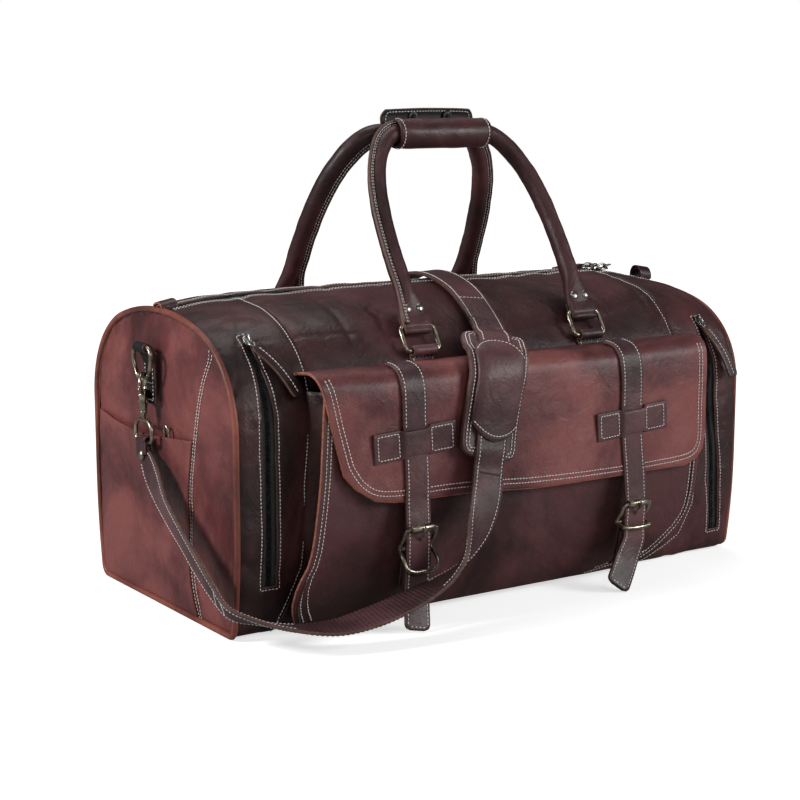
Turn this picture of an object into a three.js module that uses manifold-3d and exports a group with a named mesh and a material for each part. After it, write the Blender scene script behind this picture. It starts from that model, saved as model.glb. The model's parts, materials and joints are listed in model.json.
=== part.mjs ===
// A leather duffel bag with two rolled handles, a buckled front pocket and a shoulder strap.
// Millimetres, +Z up, +X along the bag, the front towards -Y, origin at the middle of the base.
import * as THREE from "three";
import { mergeVertices } from "three/addons/utils/BufferGeometryUtils.js";
import Module from "manifold-3d";

// Driving dimensions of the body
const HALF_LENGTH = 305;
const HALF_BASE = 126; // half width of the flat base
const CORNER_RADIUS = 14; // between base and sides
const FOOT_HALF_WIDTH = HALF_BASE + CORNER_RADIUS;
const HALF_WIDTH = 147; // at the fullest height
const FULL_HEIGHT_LOW = 110; // the sides are upright from here
const SHOULDER_Z = 190; // to here, where the rounded shoulder starts
const SHOULDER_RADIUS = 100;
const SHOULDER_TURN = 72; // degrees
const SHOULDER_Y = HALF_WIDTH - SHOULDER_RADIUS;
const LEATHER = 2.5;
const GAP = 0.3; // between neighbouring pieces
const SEAM_X = 222; // the seams between centre panels and end bands
const BAND_END_X = 298.5;
const DROOP_LEFT = 10; // how far the top sinks at each end
const DROOP_RIGHT = 18;
const ZIP_HALF_GAP = 9;
const LINING_SLACK = 0.94; // the lining hangs a little lower than the leather

// Front pocket, its flap and the buckled straps
const POCKET_ENDS = [-236, 222];
const FLAP_LEATHER = 3;
const FLAP_BOTTOM_Z = 113.5;
const FLAP_FOLD = { y: -164.5, z: 242.5 };
const BUCKLE_XS = { left: -138, right: 122 };
const TAIL_SWINGS = { left: -14, right: -30 }; // how far each tail end hangs to one side
const BUCKLE_STRAP_WIDTH = 27;
const KEEPER = { length: 90, height: 27, z: { left: 173, right: 166 } };
const BUCKLE = { topZ: { left: 95, right: 85 }, height: 40, halfWidth: 18, wire: 1.9 };

// Handles
const HANDLE_MID_X = 5;
const FOOT_X = 101; // from the handle's middle to each foot
const FOOT_SPREAD = { front: 0, back: 22 }; // how much further out each handle's right foot stands
const RING_PIVOT = { y: 137.5, z: 249 };
const HANDLE_LEAN = 31; // degrees, towards the middle of the bag
const HANDLE_REACH = 231; // from ring pivot to grip
const HANDLE_RADIUS = 9;
const RING = { halfWidth: 19, height: 25, wire: 2 };
const WRAP = { length: 110, outer: 15.5, inner: 11 };

// Side zips on the front of each end band
const SIDE_ZIP_HALF_WIDTH = 10.5;
const SIDE_ZIPS = {
  left: { x: -269, low: 47, high: 275, slider: 51, swing: 26 }, // slider: degrees above the horizontal
  right: { x: 263, low: 25, high: 257, slider: 37, swing: 20 },
};

// Ends and shoulder strap
const END_HARDWARE_Y = 6;
const HARDWARE_X = HALF_LENGTH + 13; // the plane in which the end ring hangs
const END_LOOP_Z = 252;
const HOOK_TURN = 40; // degrees between the hook's head and its ring
const STRAP_WIDTH = 34;
const STRAP_THICKNESS = 3.2;
const PAD_WIDTH = 68;
const PAD_THICKNESS = 7;

const wasm = await Module();
wasm.setup();
const bag = new THREE.Group();
const rad = THREE.MathUtils.degToRad;

const finish = (color, roughness, metalness) => new THREE.MeshStandardMaterial({ color, roughness, metalness });
const leather = finish(0x4a2622, 0.5, 0);
const lightLeather = finish(0x6a3426, 0.5, 0);
const darkLeather = finish(0x35201f, 0.55, 0);
const lining = finish(0x2a2422, 0.9, 0);
const tape = finish(0x14120f, 0.8, 0);
const brass = finish(0x9a8f7a, 0.3, 0.9);
const board = finish(0x6b5a48, 0.9, 0);

// ---------- shared shape helpers ----------

function toSolid(geometry) {
  const plain = geometry.index ? geometry.toNonIndexed() : geometry.clone();
  const bare = new THREE.BufferGeometry();
  bare.setAttribute("position", plain.getAttribute("position"));
  const merged = mergeVertices(bare, 1e-3);
  const triVerts = new Uint32Array(merged.index.array);
  const vertProperties = merged.attributes.position.array;
  return new wasm.Manifold(new wasm.Mesh({ numProp: 3, vertProperties, triVerts }));
}

function toGeometry(solid) {
  const { vertProperties, triVerts } = solid.getMesh();
  const geometry = new THREE.BufferGeometry();
  geometry.setAttribute("position", new THREE.BufferAttribute(vertProperties, 3));
  geometry.setIndex(new THREE.BufferAttribute(triVerts, 1));
  return geometry;
}

const join = (...parts) => toGeometry(parts.map(toSolid).reduce((a, b) => a.add(b)));
const cut = (part, ...tools) => toGeometry(tools.map(toSolid).reduce((a, b) => a.subtract(b), toSolid(part)));
const overlap = (part, tool) => toGeometry(toSolid(part).intersect(toSolid(tool)));

function add(name, geometry, material, parent = bag) {
  const mesh = new THREE.Mesh(geometry, material);
  mesh.name = name;
  parent.add(mesh);
  return mesh;
}

function group(parent, x, y, z, turnX = 0, turnZ = 0) {
  const made = new THREE.Group();
  made.position.set(x, y, z);
  made.rotation.set(rad(turnX), 0, rad(turnZ), "XYZ");
  parent.add(made);
  return made;
}

function box(x0, x1, y0, y1, z0, z1) {
  const made = new THREE.BoxGeometry(x1 - x0, y1 - y0, z1 - z0);
  return made.translate((x0 + x1) / 2, (y0 + y1) / 2, (z0 + z1) / 2);
}

// A (y, z) outline drawn out along X
function alongX(outline, x0, x1, steps = 1) {
  const shape = new THREE.Shape(outline.map(([y, z]) => new THREE.Vector2(y, z)));
  const made = new THREE.ExtrudeGeometry(shape, { depth: x1 - x0, steps, bevelEnabled: false });
  const turn = new THREE.Matrix4().makeBasis(
    new THREE.Vector3(0, 1, 0),
    new THREE.Vector3(0, 0, 1),
    new THREE.Vector3(1, 0, 0),
  );
  return made.applyMatrix4(turn).translate(x0, 0, 0);
}

// An (x, z) shape drawn out along Y
function alongY(shape, y0, y1) {
  const made = new THREE.ExtrudeGeometry(shape, { depth: y1 - y0, bevelEnabled: false, curveSegments: 6 });
  return made.rotateX(Math.PI / 2).translate(0, y1, 0);
}

// A round wire or tube along a curve
function rod(curve, radius, steps, sides = 8) {
  const shape = new THREE.Shape();
  for (let i = 0; i < sides; i++) {
    const angle = (i / sides) * 2 * Math.PI;
    const [x, y] = [radius * Math.cos(angle), radius * Math.sin(angle)];
    if (i) shape.lineTo(x, y);
    else shape.moveTo(x, y);
  }
  shape.closePath();
  return new THREE.ExtrudeGeometry(shape, { steps, extrudePath: curve, bevelEnabled: false });
}

const cylinderX = (radius, length, sides = 12) =>
  new THREE.CylinderGeometry(radius, radius, length, sides).rotateZ(Math.PI / 2);

// A hollow cylinder round the X axis
function tubeX(inner, outer, length, sides = 12) {
  const profile = [[inner, 0], [outer, 0], [outer, length], [inner, length], [inner, 0]];
  const points = profile.map(([r, h]) => new THREE.Vector2(r, h - length / 2));
  return new THREE.LatheGeometry(points, sides).rotateZ(Math.PI / 2);
}

const curveThrough = (points) =>
  new THREE.CatmullRomCurve3(points.map((p) => new THREE.Vector3(...p)), false, "centripetal");

// A flat strap through stations of [x, y, z, direction across the strap, share of its full width]
function flatStrap(stations, width, thickness, steps) {
  const path = curveThrough(stations.map((s) => s.slice(0, 3)));
  const across = curveThrough(stations.map((s) => s[3]));
  const share = curveThrough(stations.map((s, i) => [i, s[4], 0]));
  const corners = [];
  for (let i = 0; i <= steps; i++) {
    const here = path.getPoint(i / steps);
    const along = path.getTangent(i / steps);
    const side = across.getPoint(i / steps);
    side.addScaledVector(along, -side.dot(along)).normalize();
    const face = new THREE.Vector3().crossVectors(along, side);
    const reach = (share.getPoint(i / steps).y * width) / 2;
    for (const [a, b] of [[-1, -1], [1, -1], [1, 1], [-1, 1]]) {
      const corner = here.clone().addScaledVector(side, a * reach);
      corners.push(corner.addScaledVector(face, (b * thickness) / 2));
    }
  }
  const index = [0, 2, 1, 0, 3, 2];
  for (let i = 0; i < steps; i++) {
    for (let k = 0; k < 4; k++) {
      const [a, b] = [4 * i + k, 4 * i + ((k + 1) % 4)];
      index.push(a, b, b + 4, a, b + 4, a + 4);
    }
  }
  const last = 4 * steps;
  index.push(last, last + 1, last + 2, last, last + 2, last + 3);
  const made = new THREE.BufferGeometry().setFromPoints(corners);
  return made.setIndex(index);
}

// ---------- the body's section ----------

const arc = (y, z, radius, from, to, steps) =>
  Array.from({ length: steps + 1 }, (_, i) => {
    const angle = rad(from + ((to - from) * i) / steps);
    return [y + radius * Math.cos(angle), z + radius * Math.sin(angle)];
  });

const SHOULDER_END_Y = SHOULDER_Y + SHOULDER_RADIUS * Math.cos(rad(SHOULDER_TURN));
const SHOULDER_END_Z = SHOULDER_Z + SHOULDER_RADIUS * Math.sin(rad(SHOULDER_TURN));
const CROWN_RADIUS = SHOULDER_END_Y / Math.sin(rad(90 - SHOULDER_TURN));
const CROWN_Z = SHOULDER_END_Z - CROWN_RADIUS * Math.cos(rad(90 - SHOULDER_TURN));
const TOP_Z = CROWN_Z + CROWN_RADIUS;

// The front half of the outline from the base to the top, set in from the surface
function frontOutline(inset, topY = 0) {
  const sides = [0.33, 0.67, 1].map((t) => {
    const z = CORNER_RADIUS + t * (FULL_HEIGHT_LOW - CORNER_RADIUS);
    const out = FOOT_HALF_WIDTH + (HALF_WIDTH - FOOT_HALF_WIDTH) * (1 - (1 - t) ** 2);
    return [-out + inset, z];
  });
  const crownEnd = 90 + (Math.asin(topY / CROWN_RADIUS) * 180) / Math.PI;
  return [
    ...arc(-HALF_BASE, CORNER_RADIUS, CORNER_RADIUS - inset, 270, 180, 3),
    ...sides,
    ...arc(-SHOULDER_Y, SHOULDER_Z, SHOULDER_RADIUS - inset, 180, 180 - SHOULDER_TURN, 7),
    ...arc(0, CROWN_Z, CROWN_RADIUS - inset, 180 - SHOULDER_TURN, crownEnd, 3).slice(1),
  ];
}

const mirrored = (outline) => outline.map(([y, z]) => [-y, z]).reverse();
const wholeOutline = (inset) => [...frontOutline(inset), ...mirrored(frontOutline(inset)).slice(1)];

// The top sinks from the panel seams out to both ends
function topDrop(x) {
  const run = Math.max(0, (Math.abs(x) - SEAM_X) / (HALF_LENGTH - SEAM_X));
  return (x < 0 ? DROOP_LEFT : DROOP_RIGHT) * run ** 1.3;
}

function drooped(geometry) {
  const at = geometry.attributes.position;
  for (let i = 0; i < at.count; i++) {
    const height = Math.max(0, at.getZ(i) / TOP_Z);
    at.setZ(i, at.getZ(i) - topDrop(at.getX(i)) * height ** 3);
  }
  return geometry;
}

// An outline drawn along the whole bag, level in the middle and drooping beyond the seams
function wholeLength(outline) {
  const middle = alongX(outline, -SEAM_X, SEAM_X);
  const left = drooped(alongX(outline, -BAND_END_X, -SEAM_X, 2));
  return join(middle, left, drooped(alongX(outline, SEAM_X, BAND_END_X, 2)));
}

const shell = (inset0, inset1, topY) => [
  ...frontOutline(inset0, topY),
  ...frontOutline(inset1, topY).reverse(),
];
const surfaceY = (z) => -SHOULDER_Y - Math.sqrt(SHOULDER_RADIUS ** 2 - Math.max(0, z - SHOULDER_Z) ** 2);

function body() {
  const front = shell(0, LEATHER, ZIP_HALF_GAP);
  add("front_panel", join(alongX(front, -SEAM_X + GAP, SEAM_X - GAP), flapRoot()), leather);
  const back = mirrored(front);
  add("back_panel", wholeLength(back), leather);
  for (const [side, sign] of [["left", -1], ["right", 1]]) {
    const [x0, x1] = sign < 0 ? [-BAND_END_X, -SEAM_X] : [SEAM_X, BAND_END_X];
    const { x: zipX, low, high } = SIDE_ZIPS[side];
    const slit = box(zipX - SIDE_ZIP_HALF_WIDTH, zipX + SIDE_ZIP_HALF_WIDTH, -200, -80, low, high);
    add(`${side}_end_band`, drooped(cut(alongX(front, x0, x1, 2), slit)), darkLeather);
    const backing = alongX(shell(0.8, 2, 30), zipX - 10.2, zipX + 10.2);
    const reach = box(zipX - 20, zipX + 20, -200, -80, low + GAP, high - GAP);
    add(`${side}_side_zip_tape`, drooped(overlap(backing, reach)), tape);
    const face = wholeOutline(6.4).map(([y, z]) => [y, Math.max(z, 6.5)]);
    const xe = sign * (HALF_LENGTH - 2.5);
    add(`${side}_end_panel`, drooped(alongX(face, xe - 1.25, xe + 1.25)), lightLeather);
    const ring = wholeOutline(1.5).map(([y, z]) => [sign * (HALF_LENGTH - 3), y, Math.max(z, 3)]);
    const start = [sign * (HALF_LENGTH - 3), -2, 3];
    const end = [sign * (HALF_LENGTH - 3), 2, 3];
    const run = curveThrough([start, ...ring, end]);
    add(`${side}_piping`, drooped(rod(run, 2.9, 40, 6)), lightLeather);
  }
  add("base_panel", box(-BAND_END_X, BAND_END_X, -HALF_BASE + 0.5, HALF_BASE - 0.5, 0, 3), leather);
  add("base_board", box(-285, 285, -118, 118, 3.5, 6.5), board);
  add("lining", liningBag(), lining);
  const zip = [[-8.6, 294.8], [8.6, 294.8], [8.6, 296.6], [-8.6, 296.6]];
  add("top_zip_tape", wholeLength(zip), tape);
}

// The flap's upper edge, sewn to the front panel: it stays put when the flap opens
function flapRoot() {
  const { y, z } = FLAP_FOLD;
  const top = [[y + FLAP_LEATHER / 2, z], [-150, 241.8], [-133, 239]];
  const under = top.map(([a, b]) => [a, b - FLAP_LEATHER]).reverse();
  return alongX([...top, ...under], -SEAM_X + GAP, SEAM_X - GAP);
}

// The sewn lining: closed at both ends and below, open at the top
function liningBag() {
  const [outer, inner, openZ] = [7.3, 8.6, 262];
  const above = box(-400, 400, -400, 400, openZ, 400);
  const bagShape = cut(alongX(wholeOutline(outer), -296, 296), alongX(wholeOutline(inner), -294.8, 294.8), above);
  return bagShape.scale(1, 1, LINING_SLACK);
}

// ---------- zips ----------

function topZip() {
  for (const [side, x] of [["left", 216], ["right", 236]]) {
    const dome = new THREE.SphereGeometry(1, 10, 8).scale(6, 5, 4).translate(0, 0, 3);
    const link = box(-1.5, 1.5, 3, 12, 2, 4);
    const pull = box(-6, 6, 11, 58, 1.5, 4.5);
    const slider = join(dome, link, pull).rotateX(rad(-6));
    add(`top_slider_${side}`, slider.translate(x, 0, TOP_Z + 2.4 - topDrop(x)), brass);
  }
  for (const [side, outer, inner] of [["left", -308, -284], ["right", 300, 284]]) {
    const fold = [[-8, 0], [-9, 8], [-5, 13], [3, 13], [7, 8], [6, 0]];
    const tab = alongX(fold, Math.min(outer, inner), Math.max(outer, inner));
    add(`zip_end_tab_${side}`, tab.translate(0, 0, TOP_Z + 1.5 - topDrop(inner)), darkLeather);
  }
}

// Each side zip's slider travels round the shoulder; its leather pull hangs from it
function sideZips() {
  for (const [side, { x, slider, swing }] of Object.entries(SIDE_ZIPS)) {
    const at = group(bag, x, -SHOULDER_Y, SHOULDER_Z, 90 - slider);
    const runner = box(-4.5, 4.5, -7, 7, SHOULDER_RADIUS + 0.6, SHOULDER_RADIUS + 4.6);
    const ear = box(-1.5, 1.5, -5, 3, SHOULDER_RADIUS + 4, SHOULDER_RADIUS + 7);
    add(`${side}_zip_slider`, join(runner, ear), brass, at);
    const hang = group(at, 0, -7.6, SHOULDER_RADIUS + 6, 3, swing);
    add(`${side}_zip_pull`, box(-6, 6, -60, -4, -1.5, 1.5), leather, hang);
  }
}

// ---------- front pocket and flap ----------

const POCKET_FRONT = [[-151, 6], [-160, 22], [-168, 55], [-173, 100], [-175.5, 150], [-175.5, 224]];
const bodySide = (clear) =>
  frontOutline(-clear, 30).filter(([, z]) => z > 6 && z < 230);

function frontPocket() {
  const outer = [...POCKET_FRONT, ...bodySide(GAP).reverse()];
  const inner = [
    ...POCKET_FRONT.map(([y, z], i) => [y + LEATHER, i ? z + (i < 5 ? 2 : 20) : z + 4]),
    [-60, 244],
    [-60, 10],
  ];
  const [left, right] = POCKET_ENDS;
  const block = alongX(outer, left, right);
  const space = alongX(inner, left + LEATHER, right - LEATHER);
  add("front_pocket", cut(block, space), leather);
}

// The flap's outer face from its fold down; the fold is where it turns when it opens
const FLAP_FACE = [
  [FLAP_FOLD.y, FLAP_FOLD.z], [-173, 239], [-179, 231], [-181.5, 218], [-183, 190], [-184, 160],
  [-185.5, FLAP_BOTTOM_Z],
];

// Moves an open outline sideways by a distance, away from the body for positive values
function offset(outline, distance) {
  return outline.map((point, i) => {
    const a = outline[Math.max(i - 1, 0)];
    const b = outline[Math.min(i + 1, outline.length - 1)];
    const length = Math.hypot(b[0] - a[0], b[1] - a[1]);
    const normal = [(b[1] - a[1]) / length, -(b[0] - a[0]) / length];
    return [point[0] + normal[0] * distance, point[1] + normal[1] * distance];
  });
}

const band = (outline, inner, outer) => [...offset(outline, inner), ...offset(outline, outer).reverse()];

// The flap narrows downwards at its left edge, and its lower edge sinks a little to the right
const FLAP_OUTLINE = [
  [-236, 260], [-236, 242], [-231, 222], [-224, 192], [-215, 155], [-204, 137], [-186, 124], [-145, 119],
  [-70, 118], [0, FLAP_BOTTOM_Z], [196, FLAP_BOTTOM_Z], [213, 118], [223, 129], [225, 160], [225, 260],
];

function flap() {
  const sheet = alongX(band(FLAP_FACE, -FLAP_LEATHER, 0), -240, 240);
  const face = new THREE.Shape(FLAP_OUTLINE.map(([x, z]) => new THREE.Vector2(x, z)));
  add("pocket_flap", overlap(sheet, alongY(face, -230, -120)), lightLeather);
}

// Each strap is sewn along the flap, passes its keeper and hangs free to just above the floor
function buckleStraps() {
  const tail = [[-188.5, 100], [-190.5, 82], [-190.7, 58], [-191.7, 48], [-194, 32], [-201, 2.5]];
  for (const [side, x] of Object.entries(BUCKLE_XS)) {
    const line = [[-150, 241.8], ...FLAP_FACE, ...tail];
    const half = BUCKLE_STRAP_WIDTH / 2;
    const strap = alongX(band(line, GAP, GAP + LEATHER), x - half, x + half);
    const top = BUCKLE.topZ[side];
    const at = strap.attributes.position;
    for (let i = 0; i < at.count; i++) {
      const below = Math.max(0, 1 - at.getZ(i) / (top - 36));
      at.setX(i, at.getX(i) + TAIL_SWINGS[side] * below ** 1.2);
    }
    const hole = box(x - 2, x + 2, -210, -180, top - 23, top - 10);
    add(`flap_strap_${side}`, cut(strap, hole), darkLeather);
    keeper(side, x);
    buckle(side, x);
  }
}

// A leather bar sewn at both ends, raised over the strap
function keeper(side, x) {
  const [half, high, rise] = [KEEPER.length / 2, KEEPER.height / 2, 3.6];
  const bridge = BUCKLE_STRAP_WIDTH / 2 + 1;
  const shape = new THREE.Shape();
  shape.moveTo(-half, 0).lineTo(-bridge, 0).lineTo(-bridge, rise).lineTo(bridge, rise).lineTo(bridge, 0);
  shape.lineTo(half, 0).lineTo(half, 2).lineTo(bridge + 2, 2).lineTo(bridge + 2, rise + 2);
  shape.lineTo(-bridge - 2, rise + 2).lineTo(-bridge - 2, 2).lineTo(-half, 2).closePath();
  const bar = new THREE.ExtrudeGeometry(shape, { depth: 2 * high, bevelEnabled: false });
  bar.rotateX(Math.PI).translate(x, -184.4, KEEPER.z[side] + high);
  add(`strap_keeper_${side}`, bar, darkLeather);
}

// A centre-bar roller buckle: the strap runs under the roller, over the bar and under the lower loop
function buckle(side, x) {
  const { height, halfWidth, wire } = BUCKLE;
  const topZ = BUCKLE.topZ[side];
  const [front, behind] = [-196.8, -185.2];
  const low = topZ - height;
  const midZ = topZ - height / 2;
  const half = [
    [halfWidth - 4, front, topZ], [halfWidth, -193.5, topZ - 6], [halfWidth, behind, midZ],
    [halfWidth - 1, -194, low + 9], [halfWidth - 7, -199, low + 2],
  ];
  const flipped = half.map(([dx, y, z]) => [-dx, y, z]).reverse();
  const loop = curveThrough([...half, [0, -199.5, low], ...flipped].map(([dx, y, z]) => [x + dx, y, z]));
  const top = cylinderX(wire, 2 * halfWidth - 7, 8).translate(x, front, topZ);
  const bar = cylinderX(wire, 2 * halfWidth, 8).translate(x, behind, midZ);
  add(`buckle_frame_${side}`, join(rod(loop, wire, 24, 6), top, bar), brass);
  const roller = tubeX(wire + 0.5, wire + 1.6, 24, 10).translate(x, front, topZ);
  add(`buckle_roller_${side}`, roller, brass);
  const knuckle = tubeX(wire + 0.4, wire + 1.7, 3.4, 10).translate(x, behind, midZ);
  const pin = curveThrough([
    [x, behind - 2.6, midZ + 1], [x, -191.5, midZ + 6], [x, -197.6, midZ + 12], [x, -201.9, topZ - 1],
    [x, -202.1, topZ + 2.5],
  ]);
  add(`buckle_prong_${side}`, join(knuckle, rod(pin, 1.2, 8, 6)), brass);
  chape(side, x, behind, midZ);
}

// The folded leather tab that holds the buckle's bar, sewn to the pocket below it
function chape(side, x, barY, barZ) {
  const sleeve = cylinderX(3.7, 26, 10).translate(x, barY, barZ);
  const outline = [[barY, barZ + 3], [barY - 3, barZ - 1], [-184, barZ - 22], [-173, 26], [-170, 46], [-176, barZ]];
  const leg = alongX(outline, x - 13, x + 13);
  const hole = cylinderX(BUCKLE.wire + 0.4, 60, 12).translate(x, barY, barZ);
  const room = box(x - 2.2, x + 2.2, barY - 20, barY + 5, barZ - 5, barZ + 12);
  add(`buckle_chape_${side}`, cut(join(sleeve, leg), hole, room), darkLeather);
}

// ---------- handles ----------

function handleShape(spread) {
  const half = [[FOOT_X, 44], [FOOT_X + 1, 75], [FOOT_X + 1, 110], [99, 150], [91, 186], [77, 214],
    [64, 227], [52, HANDLE_REACH], [38, HANDLE_REACH], [15, HANDLE_REACH]];
  const right = half.map(([x, z]) => [x + spread * Math.max(0, 1 - Math.max(0, z - 44) / 170), 0, z]);
  const points = [...half.map(([x, z]) => [-x, 0, z]), ...right.reverse()];
  const leg = rod(curveThrough(points), HANDLE_RADIUS, 30, 8);
  const feet = [-FOOT_X, FOOT_X + spread].map((x) => {
    const foot = new THREE.Shape();
    foot.moveTo(-14.5, 19).lineTo(14.5, 19).lineTo(14.5, 34).lineTo(10, 52).lineTo(9, 66);
    foot.lineTo(-9, 66).lineTo(-10, 52).lineTo(-14.5, 34).closePath();
    const plate = alongY(foot, -4.6, 4.6).translate(x, 0, 0);
    return cut(plate, cylinderX(RING.wire + 0.6, 60, 10).translate(x, 0, RING.height));
  });
  return join(leg, ...feet);
}

function ringShape() {
  const { halfWidth: w, height: h, wire } = RING;
  const c = 3;
  const path = curveThrough([
    [0.3, 0, h], [w - c - 3, 0, h], [w - c, 0, h], [w - 1, 0, h - 1], [w, 0, h - c], [w, 0, c], [w - 1, 0, 1], [w - c, 0, 0],
    [0, 0, 0], [c - w, 0, 0], [1 - w, 0, 1], [-w, 0, c], [-w, 0, h - c], [1 - w, 0, h - 1], [c - w, 0, h],
    [c - w + 3, 0, h], [-0.3, 0, h],
  ]);
  return rod(path, wire, 26, 6);
}

// A leather loop round the lower bar of each ring, sewn down to the panel
function ringTab(sign) {
  const { y, z } = RING_PIVOT;
  const wall = (h) => surfaceY(h) - GAP;
  const leg = [[-y - 4.8, z], [-y - 1.5, z - 7.5], [wall(z - 7.5), z - 7.5], [wall(z), z], [-y, z + 4]];
  const loop = cylinderX(4.9, 27, 12).translate(0, -y, z);
  const hole = cylinderX(RING.wire + 0.4, 60, 12).translate(0, -y, z);
  const made = cut(join(loop, alongX(leg.reverse(), -13.5, 13.5)), hole);
  return sign < 0 ? made : made.rotateZ(Math.PI);
}

function handles() {
  for (const [side, sign] of [["front", -1], ["back", 1]]) {
    const at = group(bag, HANDLE_MID_X, sign * RING_PIVOT.y, RING_PIVOT.z, sign * HANDLE_LEAN);
    const spread = FOOT_SPREAD[side];
    add(`${side}_handle`, handleShape(spread), leather, at);
    for (const [end, x] of [["left", -FOOT_X], ["right", FOOT_X + spread]]) {
      add(`${side}_ring_${end}`, ringShape(), brass, group(at, x, 0, 0));
      add(`${side}_ring_tab_${end}`, ringTab(sign).translate(HANDLE_MID_X + x, 0, 0), darkLeather);
    }
  }
  const gripY = -RING_PIVOT.y + HANDLE_REACH * Math.sin(rad(HANDLE_LEAN));
  const gripZ = RING_PIVOT.z + HANDLE_REACH * Math.cos(rad(HANDLE_LEAN));
  const grip = group(bag, HANDLE_MID_X, gripY, gripZ);
  add("grip_wrap", tubeX(WRAP.inner, WRAP.outer, WRAP.length, 14), leather, grip);
  const half = WRAP.length / 2;
  const lip = [[15.4, 3.5], [17.6, 3.5], [18.4, 14], [17.6, 25], [15.4, 25], [16.2, 14]];
  add("grip_wrap_flap", alongX(lip, -half, half), leather, grip);
}

// ---------- ends: slip pocket, tab, ring and trigger hook ----------

function ends() {
  const back = HALF_WIDTH - 6;
  const face = [[-62, 6], [120, 6], [back - 8, 16], [back - 3, 60], [back, 110], [back, 176], [62, 171], [-62, 173]];
  const space = [[-59, 9], [118, 9], [back - 12, 20], [back - 7, 60], [back - 4, 110], [back - 4, 190], [-59, 190]];
  const xo = -HALF_LENGTH - 8.5;
  const pocket = cut(alongX(face, xo, -HALF_LENGTH + 0.9), alongX(space, xo + 2, -HALF_LENGTH + 2));
  add("end_slip_pocket", pocket, lightLeather);
  for (const [side, sign] of [["left", -1], ["right", 1]]) {
    const at = group(bag, sign * HARDWARE_X, END_HARDWARE_Y, END_LOOP_Z);
    const wall = HALF_LENGTH - 1 + GAP - HARDWARE_X;
    const strap = [[wall, -2], [wall, -54], [wall + 3, -54], [wall + 4, -16], [2, -4.5], [4.6, 0], [3, 4], [-3, 4]];
    const shape = new THREE.Shape(strap.map(([x, z]) => new THREE.Vector2(sign * x, z)));
    const tab = cut(alongY(shape, -11, 11), cylinderX(2.6, 60, 10).rotateZ(Math.PI / 2));
    add(`${side}_end_tab`, tab, lightLeather, at);
    const w = 18;
    const oval = curveThrough([
      [0, 0.3, 0], [0, w - 8, 0], [0, w - 5, 0], [0, w, -5], [0, w - 2, -20], [0, w - 9, -28], [0, 0, -30],
      [0, 9 - w, -28], [0, 2 - w, -20], [0, -w, -5], [0, 5 - w, 0], [0, 8 - w, 0], [0, -0.3, 0],
    ]);
    add(`${side}_end_ring`, rod(oval, 2, 24, 6), brass, at);
    triggerHook(side, sign, at);
  }
}

// A trigger hook: a round head over the ring, a tapering body, a swivel and the strap's loop
function triggerHook(side, sign, at) {
  const turn = rad(sign * HOOK_TURN);
  const head = curveThrough([
    [0, 6, -46], [0, 11, -41], [0, 12, -34], [0, 8.5, -27.5], [0, 1, -25], [0, -7, -27], [0, -11, -32],
  ]);
  const body = [[-5, -42], [8, -44], [7, -52], [3, -60], [-3, -60], [-5.5, -50]];
  const block = alongX(body, -3, 3);
  const stem = new THREE.CylinderGeometry(2.2, 2.2, 10, 8).rotateX(Math.PI / 2).translate(0, 0, -64);
  const eye = curveThrough([
    [0, 0.4, -68], [0, 8, -68.5], [0, 15, -74], [0, 17, -84], [0, 16, -88], [0, 0, -88.5], [0, -16, -88],
    [0, -17, -84], [0, -15, -74], [0, -8, -68.5], [0, 0, -68],
  ]);
  const upper = join(rod(head, 2.2, 12, 6), block).rotateZ(turn);
  add(`${side}_hook`, join(upper, stem, rod(eye, 2, 24, 6)), brass, at);
  const gate = curveThrough([[0, -10.6, -35], [0, -9, -38], [0, -7, -41]]);
  add(`${side}_hook_gate`, rod(gate, 1.7, 4, 6).rotateZ(turn), brass, at);
}

// ---------- shoulder strap and pad ----------

const STRAP_FRONT = [
  [-318, 6, 156.5, [0, 1, -0.2], 0.55], [-318.5, 4, 150.5, [0, 0.9, -0.4], 0.55],
  [-320, -8, 140, [-0.05, 0.7, -0.7], 0.8], [-322, -25, 126.5, [0.07, 0.6, -0.8], 1],
  [-324.5, -50, 108, [0.25, 0.5, -0.82], 1], [-326.5, -82, 90, [0.32, 0.49, -0.81], 1],
  [-327, -112, 71, [0.33, 0.6, -0.73], 1], [-325, -139, 52, [0.37, 0.68, -0.64], 1],
  [-320, -162, 36, [0.45, 0.64, -0.55], 1], [-303, -179, 29.5, [0.5, 0.72, -0.35], 1],
  [-276, -197, 23.5, [0.5, 0.83, -0.17], 1], [-240, -211, 21.5, [0.28, 0.96, 0.08], 1],
  [-205, -217, 27, [0.08, 0.98, 0.17], 1], [-180, -219, 33, [0.02, 0.99, 0.13], 1],
  [-154, -220, 41, [0, 1, 0.05], 1], [-130, -221, 51, [0.08, 0.98, -0.17], 1],
  [-112, -221, 62.5, [0.27, 0.86, -0.44], 1], [-98, -218, 76, [0.58, 0.55, -0.61], 1],
  [-85, -213, 94, [0.84, 0.15, -0.5], 1], [-73, -206, 117, [0.93, -0.05, -0.26], 1],
  [-65, -199.5, 144, [1, 0, -0.2], 1],
];
const PAD = [
  [-64, -196, 151, [1, 0, -0.2], 1], [-57, -190, 178, [1, 0, -0.15], 1], [-50, -188.5, 210, [1, 0, -0.1], 1],
  [-45, -186.5, 229, [1, 0, 0], 1], [-40, -178.5, 243, [1, 0, 0], 1], [-33, -164, 251.5, [1, 0, 0.05], 1],
  [-25, -149, 259, [1, 0, 0.05], 1],
];
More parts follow.
